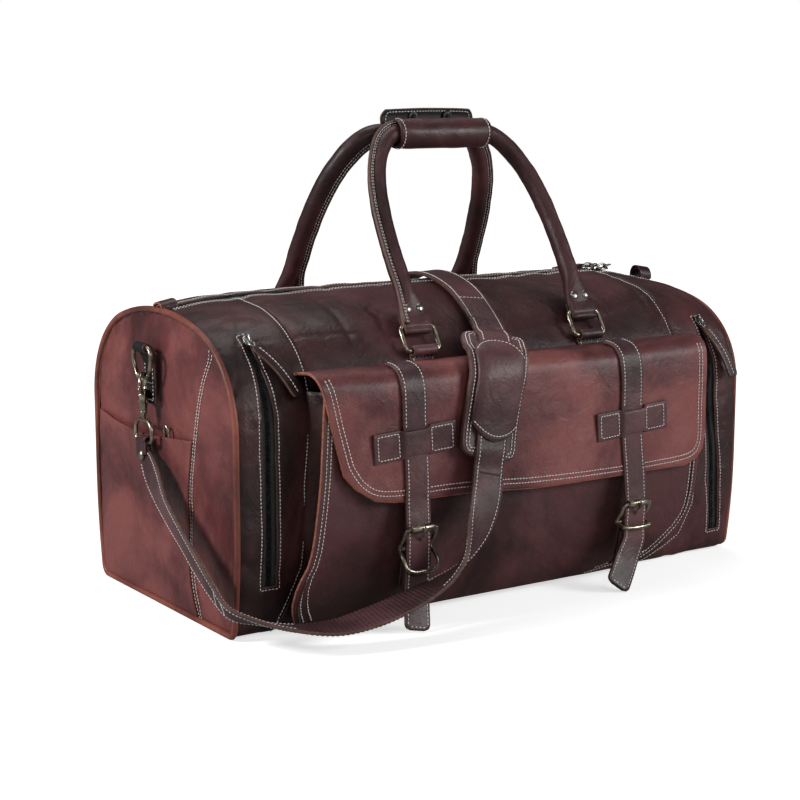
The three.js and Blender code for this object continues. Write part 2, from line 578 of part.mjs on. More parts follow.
const STRAP_BACK = [
  [-23.5, -146, 260.5, [1, 0, 0], 1], [-15, -120, 273, [1, 0, 0], 1], [-8, -92, 286.5, [1, 0, 0], 1],
  [-2, -66, 295.5, [1, 0, 0], 1], [8, -22, 302.5, [1, 0, 0], 1], [19, 22, 302.5, [1, 0, 0], 1],
  [30, 66, 295.5, [1, 0, 0], 1], [39, 97, 284.5, [1, 0, 0.1], 1], [48, 124, 264.5, [1, 0, 0.2], 1],
  [57, 145, 234, [1, 0, 0.25], 1], [69, 156, 195, [1, 0, 0.35], 1], [88, 163, 150, [0.9, 0, 0.5], 1],
  [118, 168, 108, [0.7, 0, 0.75], 1], [158, 171, 82, [0.3, 0, 0.95], 1], [208, 171, 72, [0, 0, 1], 1],
  [258, 168, 78, [-0.2, 0, 1], 1], [300, 157, 92, [-0.2, 0.2, 1], 1], [328, 130, 106, [0, 0.4, 0.9], 1],
  [336, 90, 121, [0, 0.5, 0.85], 1], [330, 50, 133, [0, 0.6, 0.8], 1], [321, 20, 143, [0, 0.8, 0.5], 0.8],
  [318.5, 8, 150.5, [0, 0.9, 0.4], 0.55], [318, 6, 156.5, [0, 1, 0.2], 0.55],
];

function shoulderStrap() {
  add("shoulder_strap_front", flatStrap(STRAP_FRONT, STRAP_WIDTH, STRAP_THICKNESS, 40), darkLeather);
  add("shoulder_pad", flatStrap(PAD, PAD_WIDTH, PAD_THICKNESS, 14), leather);
  add("shoulder_strap_back", flatStrap(STRAP_BACK, STRAP_WIDTH, STRAP_THICKNESS, 46), darkLeather);
}

body();
topZip();
sideZips();
frontPocket();
flap();
buckleStraps();
handles();
ends();
shoulderStrap();

export default bag;
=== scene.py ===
"""A leather duffel bag: its leather, stitching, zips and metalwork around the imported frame."""

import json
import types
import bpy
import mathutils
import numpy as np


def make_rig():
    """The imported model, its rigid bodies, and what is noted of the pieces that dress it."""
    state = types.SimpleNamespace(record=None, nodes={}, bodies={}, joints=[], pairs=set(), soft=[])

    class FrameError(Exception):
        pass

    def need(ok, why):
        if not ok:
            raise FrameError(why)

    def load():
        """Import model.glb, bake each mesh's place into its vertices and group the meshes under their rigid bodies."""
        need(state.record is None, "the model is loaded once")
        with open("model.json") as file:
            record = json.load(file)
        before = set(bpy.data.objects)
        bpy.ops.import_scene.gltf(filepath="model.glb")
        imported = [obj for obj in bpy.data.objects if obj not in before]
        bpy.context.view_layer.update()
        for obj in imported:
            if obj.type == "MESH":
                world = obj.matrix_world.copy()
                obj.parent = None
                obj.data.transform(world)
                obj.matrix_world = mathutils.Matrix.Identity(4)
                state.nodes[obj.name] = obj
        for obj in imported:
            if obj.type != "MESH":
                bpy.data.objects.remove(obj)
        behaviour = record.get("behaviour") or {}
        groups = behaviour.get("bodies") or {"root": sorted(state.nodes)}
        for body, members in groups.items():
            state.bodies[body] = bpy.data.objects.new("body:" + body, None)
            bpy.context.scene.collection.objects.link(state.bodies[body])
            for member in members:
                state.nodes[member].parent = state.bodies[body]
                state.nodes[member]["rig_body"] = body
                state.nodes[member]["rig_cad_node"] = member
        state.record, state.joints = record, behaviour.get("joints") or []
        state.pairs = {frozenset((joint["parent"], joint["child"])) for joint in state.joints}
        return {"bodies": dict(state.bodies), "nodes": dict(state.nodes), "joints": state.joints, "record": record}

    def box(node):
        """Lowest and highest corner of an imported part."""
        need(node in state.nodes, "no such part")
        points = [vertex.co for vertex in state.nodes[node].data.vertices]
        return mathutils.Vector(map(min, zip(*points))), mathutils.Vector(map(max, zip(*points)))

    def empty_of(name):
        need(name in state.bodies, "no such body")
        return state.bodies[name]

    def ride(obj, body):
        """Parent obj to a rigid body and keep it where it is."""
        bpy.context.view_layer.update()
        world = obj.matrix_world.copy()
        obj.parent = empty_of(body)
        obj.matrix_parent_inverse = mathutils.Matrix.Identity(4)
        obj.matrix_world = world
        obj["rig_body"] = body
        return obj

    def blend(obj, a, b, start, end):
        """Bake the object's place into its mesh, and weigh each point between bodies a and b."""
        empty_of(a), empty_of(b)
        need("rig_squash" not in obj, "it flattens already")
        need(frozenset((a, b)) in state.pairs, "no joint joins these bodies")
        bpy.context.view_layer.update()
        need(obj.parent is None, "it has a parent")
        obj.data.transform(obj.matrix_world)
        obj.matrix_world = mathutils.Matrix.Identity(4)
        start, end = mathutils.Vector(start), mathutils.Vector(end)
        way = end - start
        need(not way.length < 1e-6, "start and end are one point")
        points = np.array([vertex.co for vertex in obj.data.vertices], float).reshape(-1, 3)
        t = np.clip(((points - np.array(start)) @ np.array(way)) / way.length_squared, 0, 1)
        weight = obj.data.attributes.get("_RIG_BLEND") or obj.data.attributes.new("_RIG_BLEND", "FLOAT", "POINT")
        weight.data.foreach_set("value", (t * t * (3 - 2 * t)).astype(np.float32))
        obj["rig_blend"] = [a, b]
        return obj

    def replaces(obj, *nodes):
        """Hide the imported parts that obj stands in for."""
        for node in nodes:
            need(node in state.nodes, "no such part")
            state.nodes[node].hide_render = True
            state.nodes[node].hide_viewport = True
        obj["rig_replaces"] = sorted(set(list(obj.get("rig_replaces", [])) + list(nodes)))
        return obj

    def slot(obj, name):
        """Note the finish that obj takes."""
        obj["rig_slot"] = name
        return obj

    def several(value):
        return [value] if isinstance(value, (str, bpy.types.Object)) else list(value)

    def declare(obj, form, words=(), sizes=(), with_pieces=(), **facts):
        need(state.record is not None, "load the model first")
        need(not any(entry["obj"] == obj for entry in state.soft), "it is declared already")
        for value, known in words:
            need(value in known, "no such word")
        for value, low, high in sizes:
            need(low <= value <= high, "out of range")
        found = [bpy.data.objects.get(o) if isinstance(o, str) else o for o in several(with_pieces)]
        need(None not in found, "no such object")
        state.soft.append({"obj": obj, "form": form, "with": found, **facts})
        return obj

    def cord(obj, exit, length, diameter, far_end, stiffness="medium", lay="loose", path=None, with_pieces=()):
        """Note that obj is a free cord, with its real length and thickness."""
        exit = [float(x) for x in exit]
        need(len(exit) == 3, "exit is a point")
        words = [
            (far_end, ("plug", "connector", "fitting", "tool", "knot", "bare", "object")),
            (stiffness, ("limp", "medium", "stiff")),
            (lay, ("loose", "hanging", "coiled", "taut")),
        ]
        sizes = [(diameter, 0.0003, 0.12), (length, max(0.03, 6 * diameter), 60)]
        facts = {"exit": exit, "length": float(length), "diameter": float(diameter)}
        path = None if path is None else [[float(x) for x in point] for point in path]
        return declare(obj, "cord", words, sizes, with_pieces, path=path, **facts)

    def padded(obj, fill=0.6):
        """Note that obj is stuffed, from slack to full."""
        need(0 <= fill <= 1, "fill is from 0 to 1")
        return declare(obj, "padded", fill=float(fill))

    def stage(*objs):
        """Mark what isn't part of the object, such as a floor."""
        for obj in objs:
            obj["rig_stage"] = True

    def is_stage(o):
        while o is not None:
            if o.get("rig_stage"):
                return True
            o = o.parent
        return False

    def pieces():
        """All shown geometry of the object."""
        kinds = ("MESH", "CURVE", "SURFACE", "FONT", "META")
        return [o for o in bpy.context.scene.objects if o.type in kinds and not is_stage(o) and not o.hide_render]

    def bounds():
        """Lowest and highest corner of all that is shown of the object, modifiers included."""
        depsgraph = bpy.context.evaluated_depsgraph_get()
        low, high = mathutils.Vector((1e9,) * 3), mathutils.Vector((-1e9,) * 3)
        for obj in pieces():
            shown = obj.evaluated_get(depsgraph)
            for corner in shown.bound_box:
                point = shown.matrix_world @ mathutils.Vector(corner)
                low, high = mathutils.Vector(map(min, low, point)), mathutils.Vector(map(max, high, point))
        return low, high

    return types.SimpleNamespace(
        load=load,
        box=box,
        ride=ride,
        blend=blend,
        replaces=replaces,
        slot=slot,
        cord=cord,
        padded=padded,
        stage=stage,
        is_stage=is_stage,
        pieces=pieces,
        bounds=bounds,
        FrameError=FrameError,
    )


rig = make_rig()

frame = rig.load()
cad_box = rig.bounds()

import json
import math

import bmesh
import bpy
import numpy as np
from mathutils import Matrix, Vector, noise

# ---------- driving sizes, in metres ----------
SEAM_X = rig.box("front_panel")[1].x  # where the centre panels meet the end bands
BAND_END_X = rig.box("right_end_band")[1].x
END_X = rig.box("right_end_panel")[1].x
TOP_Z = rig.box("back_panel")[1].z
BASE_Y, CORNER, WIDE_Y = 0.126, 0.014, 0.147
UPRIGHT_Z, SHOULDER_Z, SHOULDER_R = 0.110, 0.190, 0.100
SHOULDER_TURN = math.radians(72)
DROOP = {-1: 0.010, 1: 0.018}
HIDE = 0.0025  # leather thickness
SEAM_GAP = 0.0003
ZIP_HALF_GAP, TAPE_THICK = 0.009, 0.0008
POCKET_LINE = [(-0.1755, 0.224), (-0.1755, 0.15), (-0.173, 0.10), (-0.168, 0.055), (-0.160, 0.022),
               (-0.151, 0.006)]
FLAP_LINE = [
    (-0.1330, 0.2388), (-0.1500, 0.2418), (-0.1645, 0.2425), (-0.1730, 0.2390), (-0.1790, 0.2310),
    (-0.1815, 0.2180), (-0.1830, 0.1900), (-0.1840, 0.1600), (-0.1855, 0.1135),
]
FLAP_HIDE = 0.003
BUCKLE_XS = {"left": -0.138, "right": 0.122}
ROLLER_ZS = {"left": 0.095, "right": 0.085}
KEEPER_ZS = {"left": 0.173, "right": 0.166}
TAIL_SWINGS = {"left": -0.014, "right": -0.034}
STRAP_WIDE, STRAP_THICK, STRAP_CROWN = 0.034, 0.0032, 0.0003
STRAP_LIFT = STRAP_THICK / 2 + 0.0001  # from the strap's middle to the stitches on its face
TAB_THICK, RING_WIRE = 0.0019, 0.0021
HANDLE_MID_X, FOOT_X = 0.005, 0.101
PIVOT_Y, PIVOT_Z = 0.1375, 0.249
HANDLE_LEAN = math.radians(31)
HANDLE_REACH, HANDLE_R = 0.231, 0.0096
FOOT_SPREAD = {-1: 0.0, 1: 0.022}  # how much further out each handle's right foot stands
SIDE_ZIP_HALF = 0.0105
SIDE_ZIPS = {  # x, foot and top of each window, its slider's angle and its pull's swing in degrees
    -1: (0.269, 0.047, 0.275, 51, 26), 1: (0.263, 0.025, 0.257, 37, 20),
}
HARDWARE_X, HARDWARE_Y, END_LOOP_Z = 0.318, 0.006, 0.252
STITCH_PITCH, STITCH_LONG, STITCH_WIDE = 0.0035, 0.0027, 0.0010


# ---------- the camera ----------

def make_camera():
    camera = bpy.data.objects.new("camera", bpy.data.cameras.new("camera"))
    bpy.context.scene.collection.objects.link(camera)
    place, target = Vector((-1.04044, -1.50856, 0.49020)), Vector((-0.0309, 0, 0.17515))
    camera.location = place
    camera.rotation_mode = "QUATERNION"
    camera.rotation_quaternion = (target - place).to_track_quat("-Z", "Y")
    camera.data.lens, camera.data.sensor_width = 80.5, 36
    camera.data.clip_start = 0.05
    bpy.context.scene.camera = camera


make_camera()


# ---------- materials ----------

def material(name, **sockets):
    made = bpy.data.materials.new(name)
    made.use_nodes = True
    shader = made.node_tree.nodes["Principled BSDF"]
    for key, value in sockets.items():
        shader.inputs[key.replace("_", " ")].default_value = value
    return made, made.node_tree, shader


def node(tree, kind, **settings):
    made = tree.nodes.new(kind)
    for key, value in settings.items():
        if key in made.inputs:
            made.inputs[key].default_value = value
        else:
            setattr(made, key, value)
    return made


def texture(tree, kind, scale, stretch=None, **settings):
    """A 3D texture in the object's own coordinates."""
    made = node(tree, kind, Scale=scale, **settings)
    where = node(tree, "ShaderNodeTexCoord").outputs["Object"]
    if stretch:
        mapped = node(tree, "ShaderNodeMapping")
        mapped.inputs["Scale"].default_value = stretch
        tree.links.new(where, mapped.inputs["Vector"])
        where = mapped.outputs["Vector"]
    tree.links.new(where, made.inputs["Vector"])
    return made


def ramp(tree, source, stops):
    made = tree.nodes.new("ShaderNodeValToRGB")
    band = made.color_ramp
    while len(band.elements) < len(stops):
        band.elements.new(0.5)
    for element, (place, colour) in zip(band.elements, stops):
        element.position = place
        element.color = (*colour, 1)
    tree.links.new(source, made.inputs["Fac"])
    return made.outputs["Color"]


def map_range(tree, source, to_min, to_max, from_min=0.0, from_max=1.0):
    made = tree.nodes.new("ShaderNodeMapRange")
    values = {"From Min": from_min, "From Max": from_max, "To Min": to_min, "To Max": to_max}
    for socket, value in values.items():
        made.inputs[socket].default_value = value
    tree.links.new(source, made.inputs["Value"])
    return made.outputs["Result"]


def bumps(tree, shader, layers):
    """Bump layers of (height output, strength, distance in metres), each on top of the last."""
    last = None
    for height, strength, distance in layers:
        bump = node(tree, "ShaderNodeBump", Strength=strength, Distance=distance)
        tree.links.new(height, bump.inputs["Height"])
        if last:
            tree.links.new(last, bump.inputs["Normal"])
        last = bump.outputs["Normal"]
    tree.links.new(last, shader.inputs["Normal"])


def leather(name, dark, mid, light, rough=(0.36, 0.60), grain=0.5):
    """Pull-up leather: cloudy colour, pebbled grain, fine creases and an uneven gloss."""
    made, tree, shader = material(name, Specular_IOR_Level=0.36, Coat_Weight=0.06, Coat_Roughness=0.25)
    clouds = texture(tree, "ShaderNodeTexNoise", 7, Detail=5.0, Roughness=0.6, Distortion=0.6)
    colour = ramp(tree, clouds.outputs["Fac"], [(0.39, dark), (0.50, mid), (0.61, light)])
    specks = texture(tree, "ShaderNodeTexNoise", 260, Detail=3.0, Roughness=0.7)
    mixed = node(tree, "ShaderNodeMix", data_type="RGBA", blend_type="SOFT_LIGHT")
    mixed.inputs["Factor"].default_value = 0.35
    tree.links.new(colour, mixed.inputs["A"])
    tree.links.new(specks.outputs["Color"], mixed.inputs["B"])
    tree.links.new(mixed.outputs["Result"], shader.inputs["Base Color"])
    patches = texture(tree, "ShaderNodeTexNoise", 22, Detail=4.0, Roughness=0.65)
    gloss = map_range(tree, patches.outputs["Fac"], *rough, from_min=0.3, from_max=0.7)
    tree.links.new(gloss, shader.inputs["Roughness"])
    pebbles = texture(tree, "ShaderNodeTexVoronoi", 620, feature="SMOOTH_F1", Randomness=1.0)
    creases = texture(tree, "ShaderNodeTexNoise", 55, stretch=(1.0, 0.9, 0.75), Detail=6.0, Roughness=0.6,
                      Distortion=1.5)
    dents = texture(tree, "ShaderNodeTexNoise", 16, Detail=2.0)
    bumps(tree, shader, [
        (dents.outputs["Fac"], 0.6, 0.006), (creases.outputs["Fac"], 0.5, 0.0022),
        (pebbles.outputs["Distance"], grain, 0.0003),
    ])
    return made


def cut_edge(name, colour):
    """The raw layered edge of thick leather."""
    made, tree, shader = material(name, Roughness=0.6)
    fibres = texture(tree, "ShaderNodeTexNoise", 420, stretch=(0.3, 0.3, 1.0), Detail=4.0)
    darker = tuple(c * 0.45 for c in colour)
    tree.links.new(ramp(tree, fibres.outputs["Fac"], [(0.3, darker), (0.7, colour)]),
                   shader.inputs["Base Color"])
    bumps(tree, shader, [(fibres.outputs["Fac"], 0.5, 0.0004)])
    return made


def thread_material():
    made, tree, shader = material("thread", Roughness=0.62, Sheen_Weight=0.15)
    twist = texture(tree, "ShaderNodeTexNoise", 900, Detail=2.0)
    tones = [(0.3, (0.50, 0.45, 0.42)), (0.7, (0.86, 0.82, 0.78))]
    tree.links.new(ramp(tree, twist.outputs["Fac"], tones), shader.inputs["Base Color"])
    bumps(tree, shader, [(twist.outputs["Fac"], 0.5, 0.0002)])
    return made


def metal(name, dull, bright, rough):
    """Plated metal with darker tarnish in patches."""
    made, tree, shader = material(name, Metallic=1.0)
    wear = texture(tree, "ShaderNodeTexNoise", 130, Detail=5.0, Roughness=0.6)
    tree.links.new(ramp(tree, wear.outputs["Fac"], [(0.35, dull), (0.62, bright)]),
                   shader.inputs["Base Color"])
    tree.links.new(map_range(tree, wear.outputs["Fac"], rough + 0.15, rough), shader.inputs["Roughness"])
    scratches = texture(tree, "ShaderNodeTexNoise", 600, stretch=(1.0, 1.0, 0.2), Detail=2.0)
    bumps(tree, shader, [(scratches.outputs["Fac"], 0.15, 0.0001)])
    return made


def woven(name, low, high, pitch):
    """Woven tape or cloth: fine crossing ribs."""
    made, tree, shader = material(name, Roughness=0.85, Sheen_Weight=0.2)
    ribs = texture(tree, "ShaderNodeTexWave", pitch, bands_direction="X", Distortion=0.6)
    cross = texture(tree, "ShaderNodeTexWave", pitch, bands_direction="Z", Distortion=0.6)
    fuzz = texture(tree, "ShaderNodeTexNoise", 500, Detail=2.0)
    tree.links.new(ramp(tree, fuzz.outputs["Fac"], [(0.3, low), (0.7, high)]), shader.inputs["Base Color"])
    bumps(tree, shader, [(ribs.outputs["Fac"], 0.5, 0.0004), (cross.outputs["Fac"], 0.5, 0.0004)])
    return made


BROWN = leather("brown_leather", (0.023, 0.0070, 0.0080), (0.047, 0.0142, 0.0158), (0.082, 0.0260, 0.0270))
# A darker copy of the leather. On the left end band it is partly that band's own darker leather and partly painted
# shade; the matching right band takes the brown.
DARK_AND_SHADE = leather("dark_leather", (0.011, 0.0036, 0.0040), (0.027, 0.0080, 0.0086), (0.056, 0.0165, 0.0160))
RED = leather("red_leather", (0.056, 0.0130, 0.0140), (0.118, 0.0300, 0.0305), (0.200, 0.0570, 0.0520))
STRAP = leather("strap_leather", (0.028, 0.0108, 0.0128), (0.060, 0.0236, 0.0270), (0.108, 0.0430, 0.0460))
INSIDE = leather("leather_inside", (0.003, 0.0020, 0.0020), (0.005, 0.0032, 0.0031),
                 (0.009, 0.0050, 0.0048), (0.6, 0.8), 0.2)
# A lighter, more orange copy of the red leather: painted highlight along the rounded piping.
PIPING_PAINTED_HIGHLIGHT = leather("piping_leather", (0.100, 0.0260, 0.0190), (0.175, 0.0470, 0.0330),
                 (0.260, 0.0780, 0.0520), grain=0.2)
EDGE = cut_edge("cut_edge", (0.36, 0.120, 0.072))
DARK_EDGE = cut_edge("dark_cut_edge", (0.12, 0.055, 0.042))
THREAD = thread_material()
METAL = metal("antique_metal", (0.20, 0.17, 0.12), (0.66, 0.60, 0.48), 0.22)
STEEL = metal("slider_steel", (0.16, 0.15, 0.14), (0.48, 0.46, 0.43), 0.24)
TAPE = woven("zip_tape", (0.004, 0.004, 0.005), (0.012, 0.012, 0.014), 900)
TEETH = metal("zip_teeth", (0.012, 0.012, 0.013), (0.045, 0.045, 0.05), 0.35)
CLOTH = woven("lining_cloth", (0.010, 0.009, 0.008), (0.028, 0.024, 0.021), 500)
BOARD = cut_edge("stiffening_board", (0.22, 0.17, 0.12))


# ---------- mesh helpers ----------

class Parts:
    """Collects vertices, faces and materials for one mesh."""

    def __init__(self):
        self.points, self.faces, self.kinds, self.count = [], [], [], 0

    def add(self, points, faces, kind):
        kinds = kind if isinstance(kind, list) else [kind] * len(faces)
        self.points.append(np.asarray(points, float).reshape(-1, 3))
        self.faces += [[i + self.count for i in face] for face in faces]
        self.kinds += kinds
        self.count += len(self.points[-1])

    def make(self, name):
        mesh = bpy.data.meshes.new(name)
        mesh.from_pydata(np.concatenate(self.points).tolist(), [], self.faces)
        order = list(dict.fromkeys(self.kinds))
        for kind in order:
            mesh.materials.append(kind)
        mesh.polygons.foreach_set("material_index", [order.index(kind) for kind in self.kinds])
        mesh.polygons.foreach_set("use_smooth", [True] * len(self.faces))
        shape = bmesh.new()
        shape.from_mesh(mesh)
        bmesh.ops.recalc_face_normals(shape, faces=shape.faces)
        shape.to_mesh(mesh)
        shape.free()
        mesh.update()
        made = bpy.data.objects.new(name, mesh)
        bpy.context.scene.collection.objects.link(made)
        return made

    def ride(self, name, body, slot=None, nodes=(), bend=None):
        rides(self.make(name), body, slot, nodes, bend)


def rides(piece, body, slot, nodes=(), bend=None):
    """Puts a piece on a body, or bends it between the root and that body from one point to another."""
    if slot:
        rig.slot(piece, slot)
    if nodes:
        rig.replaces(piece, *nodes)
    if bend:
        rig.blend(piece, "root", body, start=bend[0], end=bend[1])
    else:
        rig.ride(piece, body)


def unit(v):
    v = np.asarray(v, float)
    return v / np.maximum(np.linalg.norm(v, axis=-1, keepdims=True), 1e-12)


def smooth(points, per_span=8):
    """A centripetal Catmull-Rom curve through the points."""
    p = np.array(points, float)
    p = np.vstack([2 * p[0] - p[1], p, 2 * p[-1] - p[-2]])
    out = []
    for i in range(1, len(p) - 2):
        k = [0.0]
        for a, b in zip(p[i - 1:i + 2], p[i:i + 3]):
            k.append(k[-1] + max(np.linalg.norm(b - a), 1e-9) ** 0.5)
        t = np.linspace(k[1], k[2], per_span, endpoint=False)[:, None]

        def mix(a, b, ka, kb):
            return ((kb - t) * a + (t - ka) * b) / (kb - ka)

        a1, a2, a3 = (mix(p[i + j - 1], p[i + j], k[j], k[j + 1]) for j in range(3))
        b1, b2 = mix(a1, a2, k[0], k[2]), mix(a2, a3, k[1], k[3])
        out.append(mix(b1, b2, k[1], k[2]))
    return np.vstack([*out, p[-2:-1]])


def lengths(path):
    return np.concatenate([[0], np.cumsum(np.linalg.norm(np.diff(path, axis=0), axis=1))])


def at_lengths(path, run, where):
    return np.stack([np.interp(where, run, path[:, i]) for i in range(path.shape[1])], 1)


def evenly(path, step):
    run = lengths(path)
    return at_lengths(path, run, np.linspace(0, run[-1], max(2, int(run[-1] / step) + 1)))


def tangents(path, closed=False):
    if closed:
        return unit(np.roll(path, -1, 0) - np.roll(path, 1, 0))
    return unit(np.gradient(path, axis=0))


def sweep(parts, centres, sides, ups, rings, kinds, closed=False):
    """Joins one closed ring of (side, up) points to the next along a path, with flat ends."""
    count, around = rings.shape[:2]
    points = centres[:, None] + rings[..., :1] * sides[:, None] + rings[..., 1:] * ups[:, None]
    faces, names = [], []
    for i in range(count if closed else count - 1):
        a, b = i * around, (i + 1) % count * around
        for k in range(around):
            n = (k + 1) % around
            faces.append([a + k, a + n, b + n, b + k])
            names.append(kinds[k % len(kinds)])
    if not closed:
        faces += [list(range(around))[::-1], [(count - 1) * around + k for k in range(around)]]
        names += [kinds[0], kinds[0]]
    parts.add(points, faces, names)


def circle(count):
    angle = np.linspace(0, 2 * math.pi, count, endpoint=False)
    return np.stack([np.cos(angle), np.sin(angle)], 1)


def wire(parts, path, radius, up, kind, closed=False, around=12):
    """A round rod along a path; up is any direction that the path never follows."""
    path = np.asarray(path, float)
    along = tangents(path, closed)
    sides = unit(np.cross(along, np.asarray(up, float)))
    ups = np.cross(sides, along)
    radius = np.broadcast_to(np.asarray(radius, float), len(path))
    sweep(parts, path, sides, ups, circle(around)[None] * radius[:, None, None], [kind], closed)


def rounded_loop(half_a, half_b, corner):
    """A rounded rectangle as (a, b) points, anticlockwise."""
    out = []
    for sa, sb, start in ((1, 1, 0), (-1, 1, 90), (-1, -1, 180), (1, -1, 270)):
        for angle in np.radians(np.linspace(start, start + 90, 5)):
            out.append((sa * (half_a - corner) + corner * math.cos(angle),
                        sb * (half_b - corner) + corner * math.sin(angle)))
    return np.array(out)


def ribbon(parts, path, across, width, thick, face, edge, back=None, crown=0.0, flat=7):
    """A flat strip with slightly rounded cut edges. width and thick are one value or one for each station."""
    path, n = np.asarray(path, float), len(path)
    along = tangents(path)
    across = np.broadcast_to(np.asarray(across, float), path.shape)
    sides = unit(across - (across * along).sum(1, keepdims=True) * along)
    ups = np.cross(along, sides)
    half = np.broadcast_to(np.asarray(width, float), n) / 2
    high = np.broadcast_to(np.asarray(thick, float), n) / 2
    soft = np.minimum(0.0007, high * 0.5)
    share = np.linspace(-1, 1, flat)
    top = [((half - soft) * s, high + crown * (1 - s * s)) for s in share]
    corner = [(half - 0.3 * soft, high - 0.3 * soft), (half, high - soft)]
    right = corner + [(a, -b) for a, b in reversed(corner)]
    bottom = [((half - soft) * s, -high + 0 * half) for s in share[::-1]]
    left = [(-a, b) for a, b in reversed(right)]
    rings = np.array([[np.broadcast_to(c, n) for c in point] for point in top + right + bottom + left])
    kinds = [face] * (flat - 1) + [edge] * 5 + [back or face] * (flat - 1) + [edge] * 5
    sweep(parts, path, sides, ups, rings.transpose(2, 0, 1), kinds)
    return sides, ups


def lathe(parts, origin, axis, profile, kind, around=20):
    """A turned shape: profile is (radius, height) along the axis, from one end to the other."""
    axis = unit(np.array(axis, float))
    side = unit(np.cross(axis, (0.31, 0.52, 0.79)))
    other = np.cross(axis, side)
    rings = np.array([circle(around) * max(r, 1e-5) for r, _ in profile])
    centres = np.array([np.array(origin, float) + axis * h for _, h in profile])
    n = len(profile)
    sweep(parts, centres, np.tile(side, (n, 1)), np.tile(other, (n, 1)), rings, [kind])


STITCH_RING = circle(6)
STITCH_FACES = [
    [i * 6 + k, i * 6 + (k + 1) % 6, (i + 1) * 6 + (k + 1) % 6, (i + 1) * 6 + k]
    for i in range(3) for k in range(6)
] + [[5, 4, 3, 2, 1, 0], [18, 19, 20, 21, 22, 23]]


def set_down(centres, shape, directions):
    """One small shape at every centre, its axes along the three directions found there."""
    return centres[:, None] + sum(shape[None, :, i:i + 1] * v[:, None] for i, v in enumerate(directions))


def stitch(parts, path, normals, pitch=STITCH_PITCH, long=STITCH_LONG, wide=STITCH_WIDE):
    """A row of stitches lying on a surface: each dips into the leather at both its ends."""
    path = np.asarray(path, float)
    normals = np.broadcast_to(np.asarray(normals, float), path.shape)
    run = lengths(path)
    count = int(run[-1] / pitch)
    if count < 1:
        return
    middle = (np.arange(count) + 0.5) * run[-1] / count
    a = at_lengths(path, run, middle - long / 2)
    b = at_lengths(path, run, middle + long / 2)
    up = unit(at_lengths(normals, run, middle))
    along = unit(b - a)
    side = unit(np.cross(up, along))
    shape = []
    for share, height, fat in ((-0.5, -0.00030, 0.45), (-0.27, 0.00026, 1), (0.27, 0.00026, 1),
                               (0.5, -0.00030, 0.45)):
        for c, s in STITCH_RING:
            shape.append((share * long, c * wide / 2 * fat, height + s * 0.00034 * fat))
    shape = np.array(shape)
    points = set_down((a + b) / 2, shape, (along, side, up))
    faces = [[i + 24 * n for i in face] for n in range(count) for face in STITCH_FACES]
    parts.add(points, faces, THREAD)


def noise_at(points, scale, seed):
    """Smooth noise at each point, the same on every run."""
    shift = Vector((seed, seed * 0.7, -seed * 0.4))
    flat = np.asarray(points, float).reshape(-1, 3)
    made = [noise.noise(Vector(p) * scale + shift) for p in flat]
    return np.array(made).reshape(np.asarray(points).shape[:-1])


def step(x, low, high):
    """0 below low, 1 above high, and a smooth rise between them."""
    t = np.clip((np.asarray(x, float) - low) / (high - low), 0, 1)
    return t * t * (3 - 2 * t)


def grid_normals(points):
    du, dv = np.gradient(points, axis=0), np.gradient(points, axis=1)
    return unit(np.cross(du, dv))


def facing(points, way):
    """The grid turned so that its normals point along way, and those normals."""
    normals = grid_normals(points)
    if (normals * way).sum(-1).mean() < 0:
        points, normals = points[::-1], -normals[::-1]
    return points, normals


def panel(parts, points, normals, thick, face, edge, back, keep=None, rim=0.0006):
    """A thick sheet over a grid of points, with bevelled cut edges round it and round its holes."""
    rows, cols = points.shape[:2]
    keep = np.ones((rows - 1, cols - 1), bool) if keep is None else keep
    outer = points.reshape(-1, 3)
    flat_normals = normals.reshape(-1, 3)
    inner = outer - flat_normals * thick
    total = rows * cols
    used = {}
    faces, kinds = [], []
    open_edges = {}
    for i in range(rows - 1):
        for j in range(cols - 1):
            if not keep[i, j]:
                continue
            a = i * cols + j
            quad = [a, a + cols, a + cols + 1, a + 1]
            faces.append(quad)
            kinds.append(face)
            faces.append([v + total for v in reversed(quad)])
            kinds.append(back)
            for p, q in zip(quad, quad[1:] + quad[:1]):
                if (q, p) in open_edges:
                    del open_edges[(q, p)]
                else:
                    open_edges[(p, q)] = True
    outward = {}
    for p, q in open_edges:
        way = np.cross(outer[q] - outer[p], flat_normals[p])
        for v in (p, q):
            outward[v] = outward.get(v, 0) + unit(way)
    extra = []
    rims = {}
    for v, way in outward.items():
        way = unit(way)
        rims[v] = (2 * total + len(extra), 2 * total + len(extra) + 1)
        extra.append(outer[v] + way * rim - flat_normals[v] * rim)
        extra.append(inner[v] + way * rim + flat_normals[v] * rim)
    for p, q in open_edges:
        (p1, p2), (q1, q2) = rims[p], rims[q]
        faces += [[q, p, p1, q1], [q1, p1, p2, q2], [q2, p2, p + total, q + total]]
        kinds += [edge] * 3
    every = np.concatenate([outer, inner, np.array(extra).reshape(-1, 3)])
    for face_points in faces:
        for v in face_points:
            used.setdefault(v, len(used))
    parts.add(every[list(used)], [[used[v] for v in f] for f in faces], kinds)


FLAP_BEND = ((0, -0.152, 0.2425), (0, -0.176, 0.2370))
STRAP_BEND = ((-0.26, 0, 0), (-0.072, 0, 0))


# ---------- the shoulder strap and its pad ----------

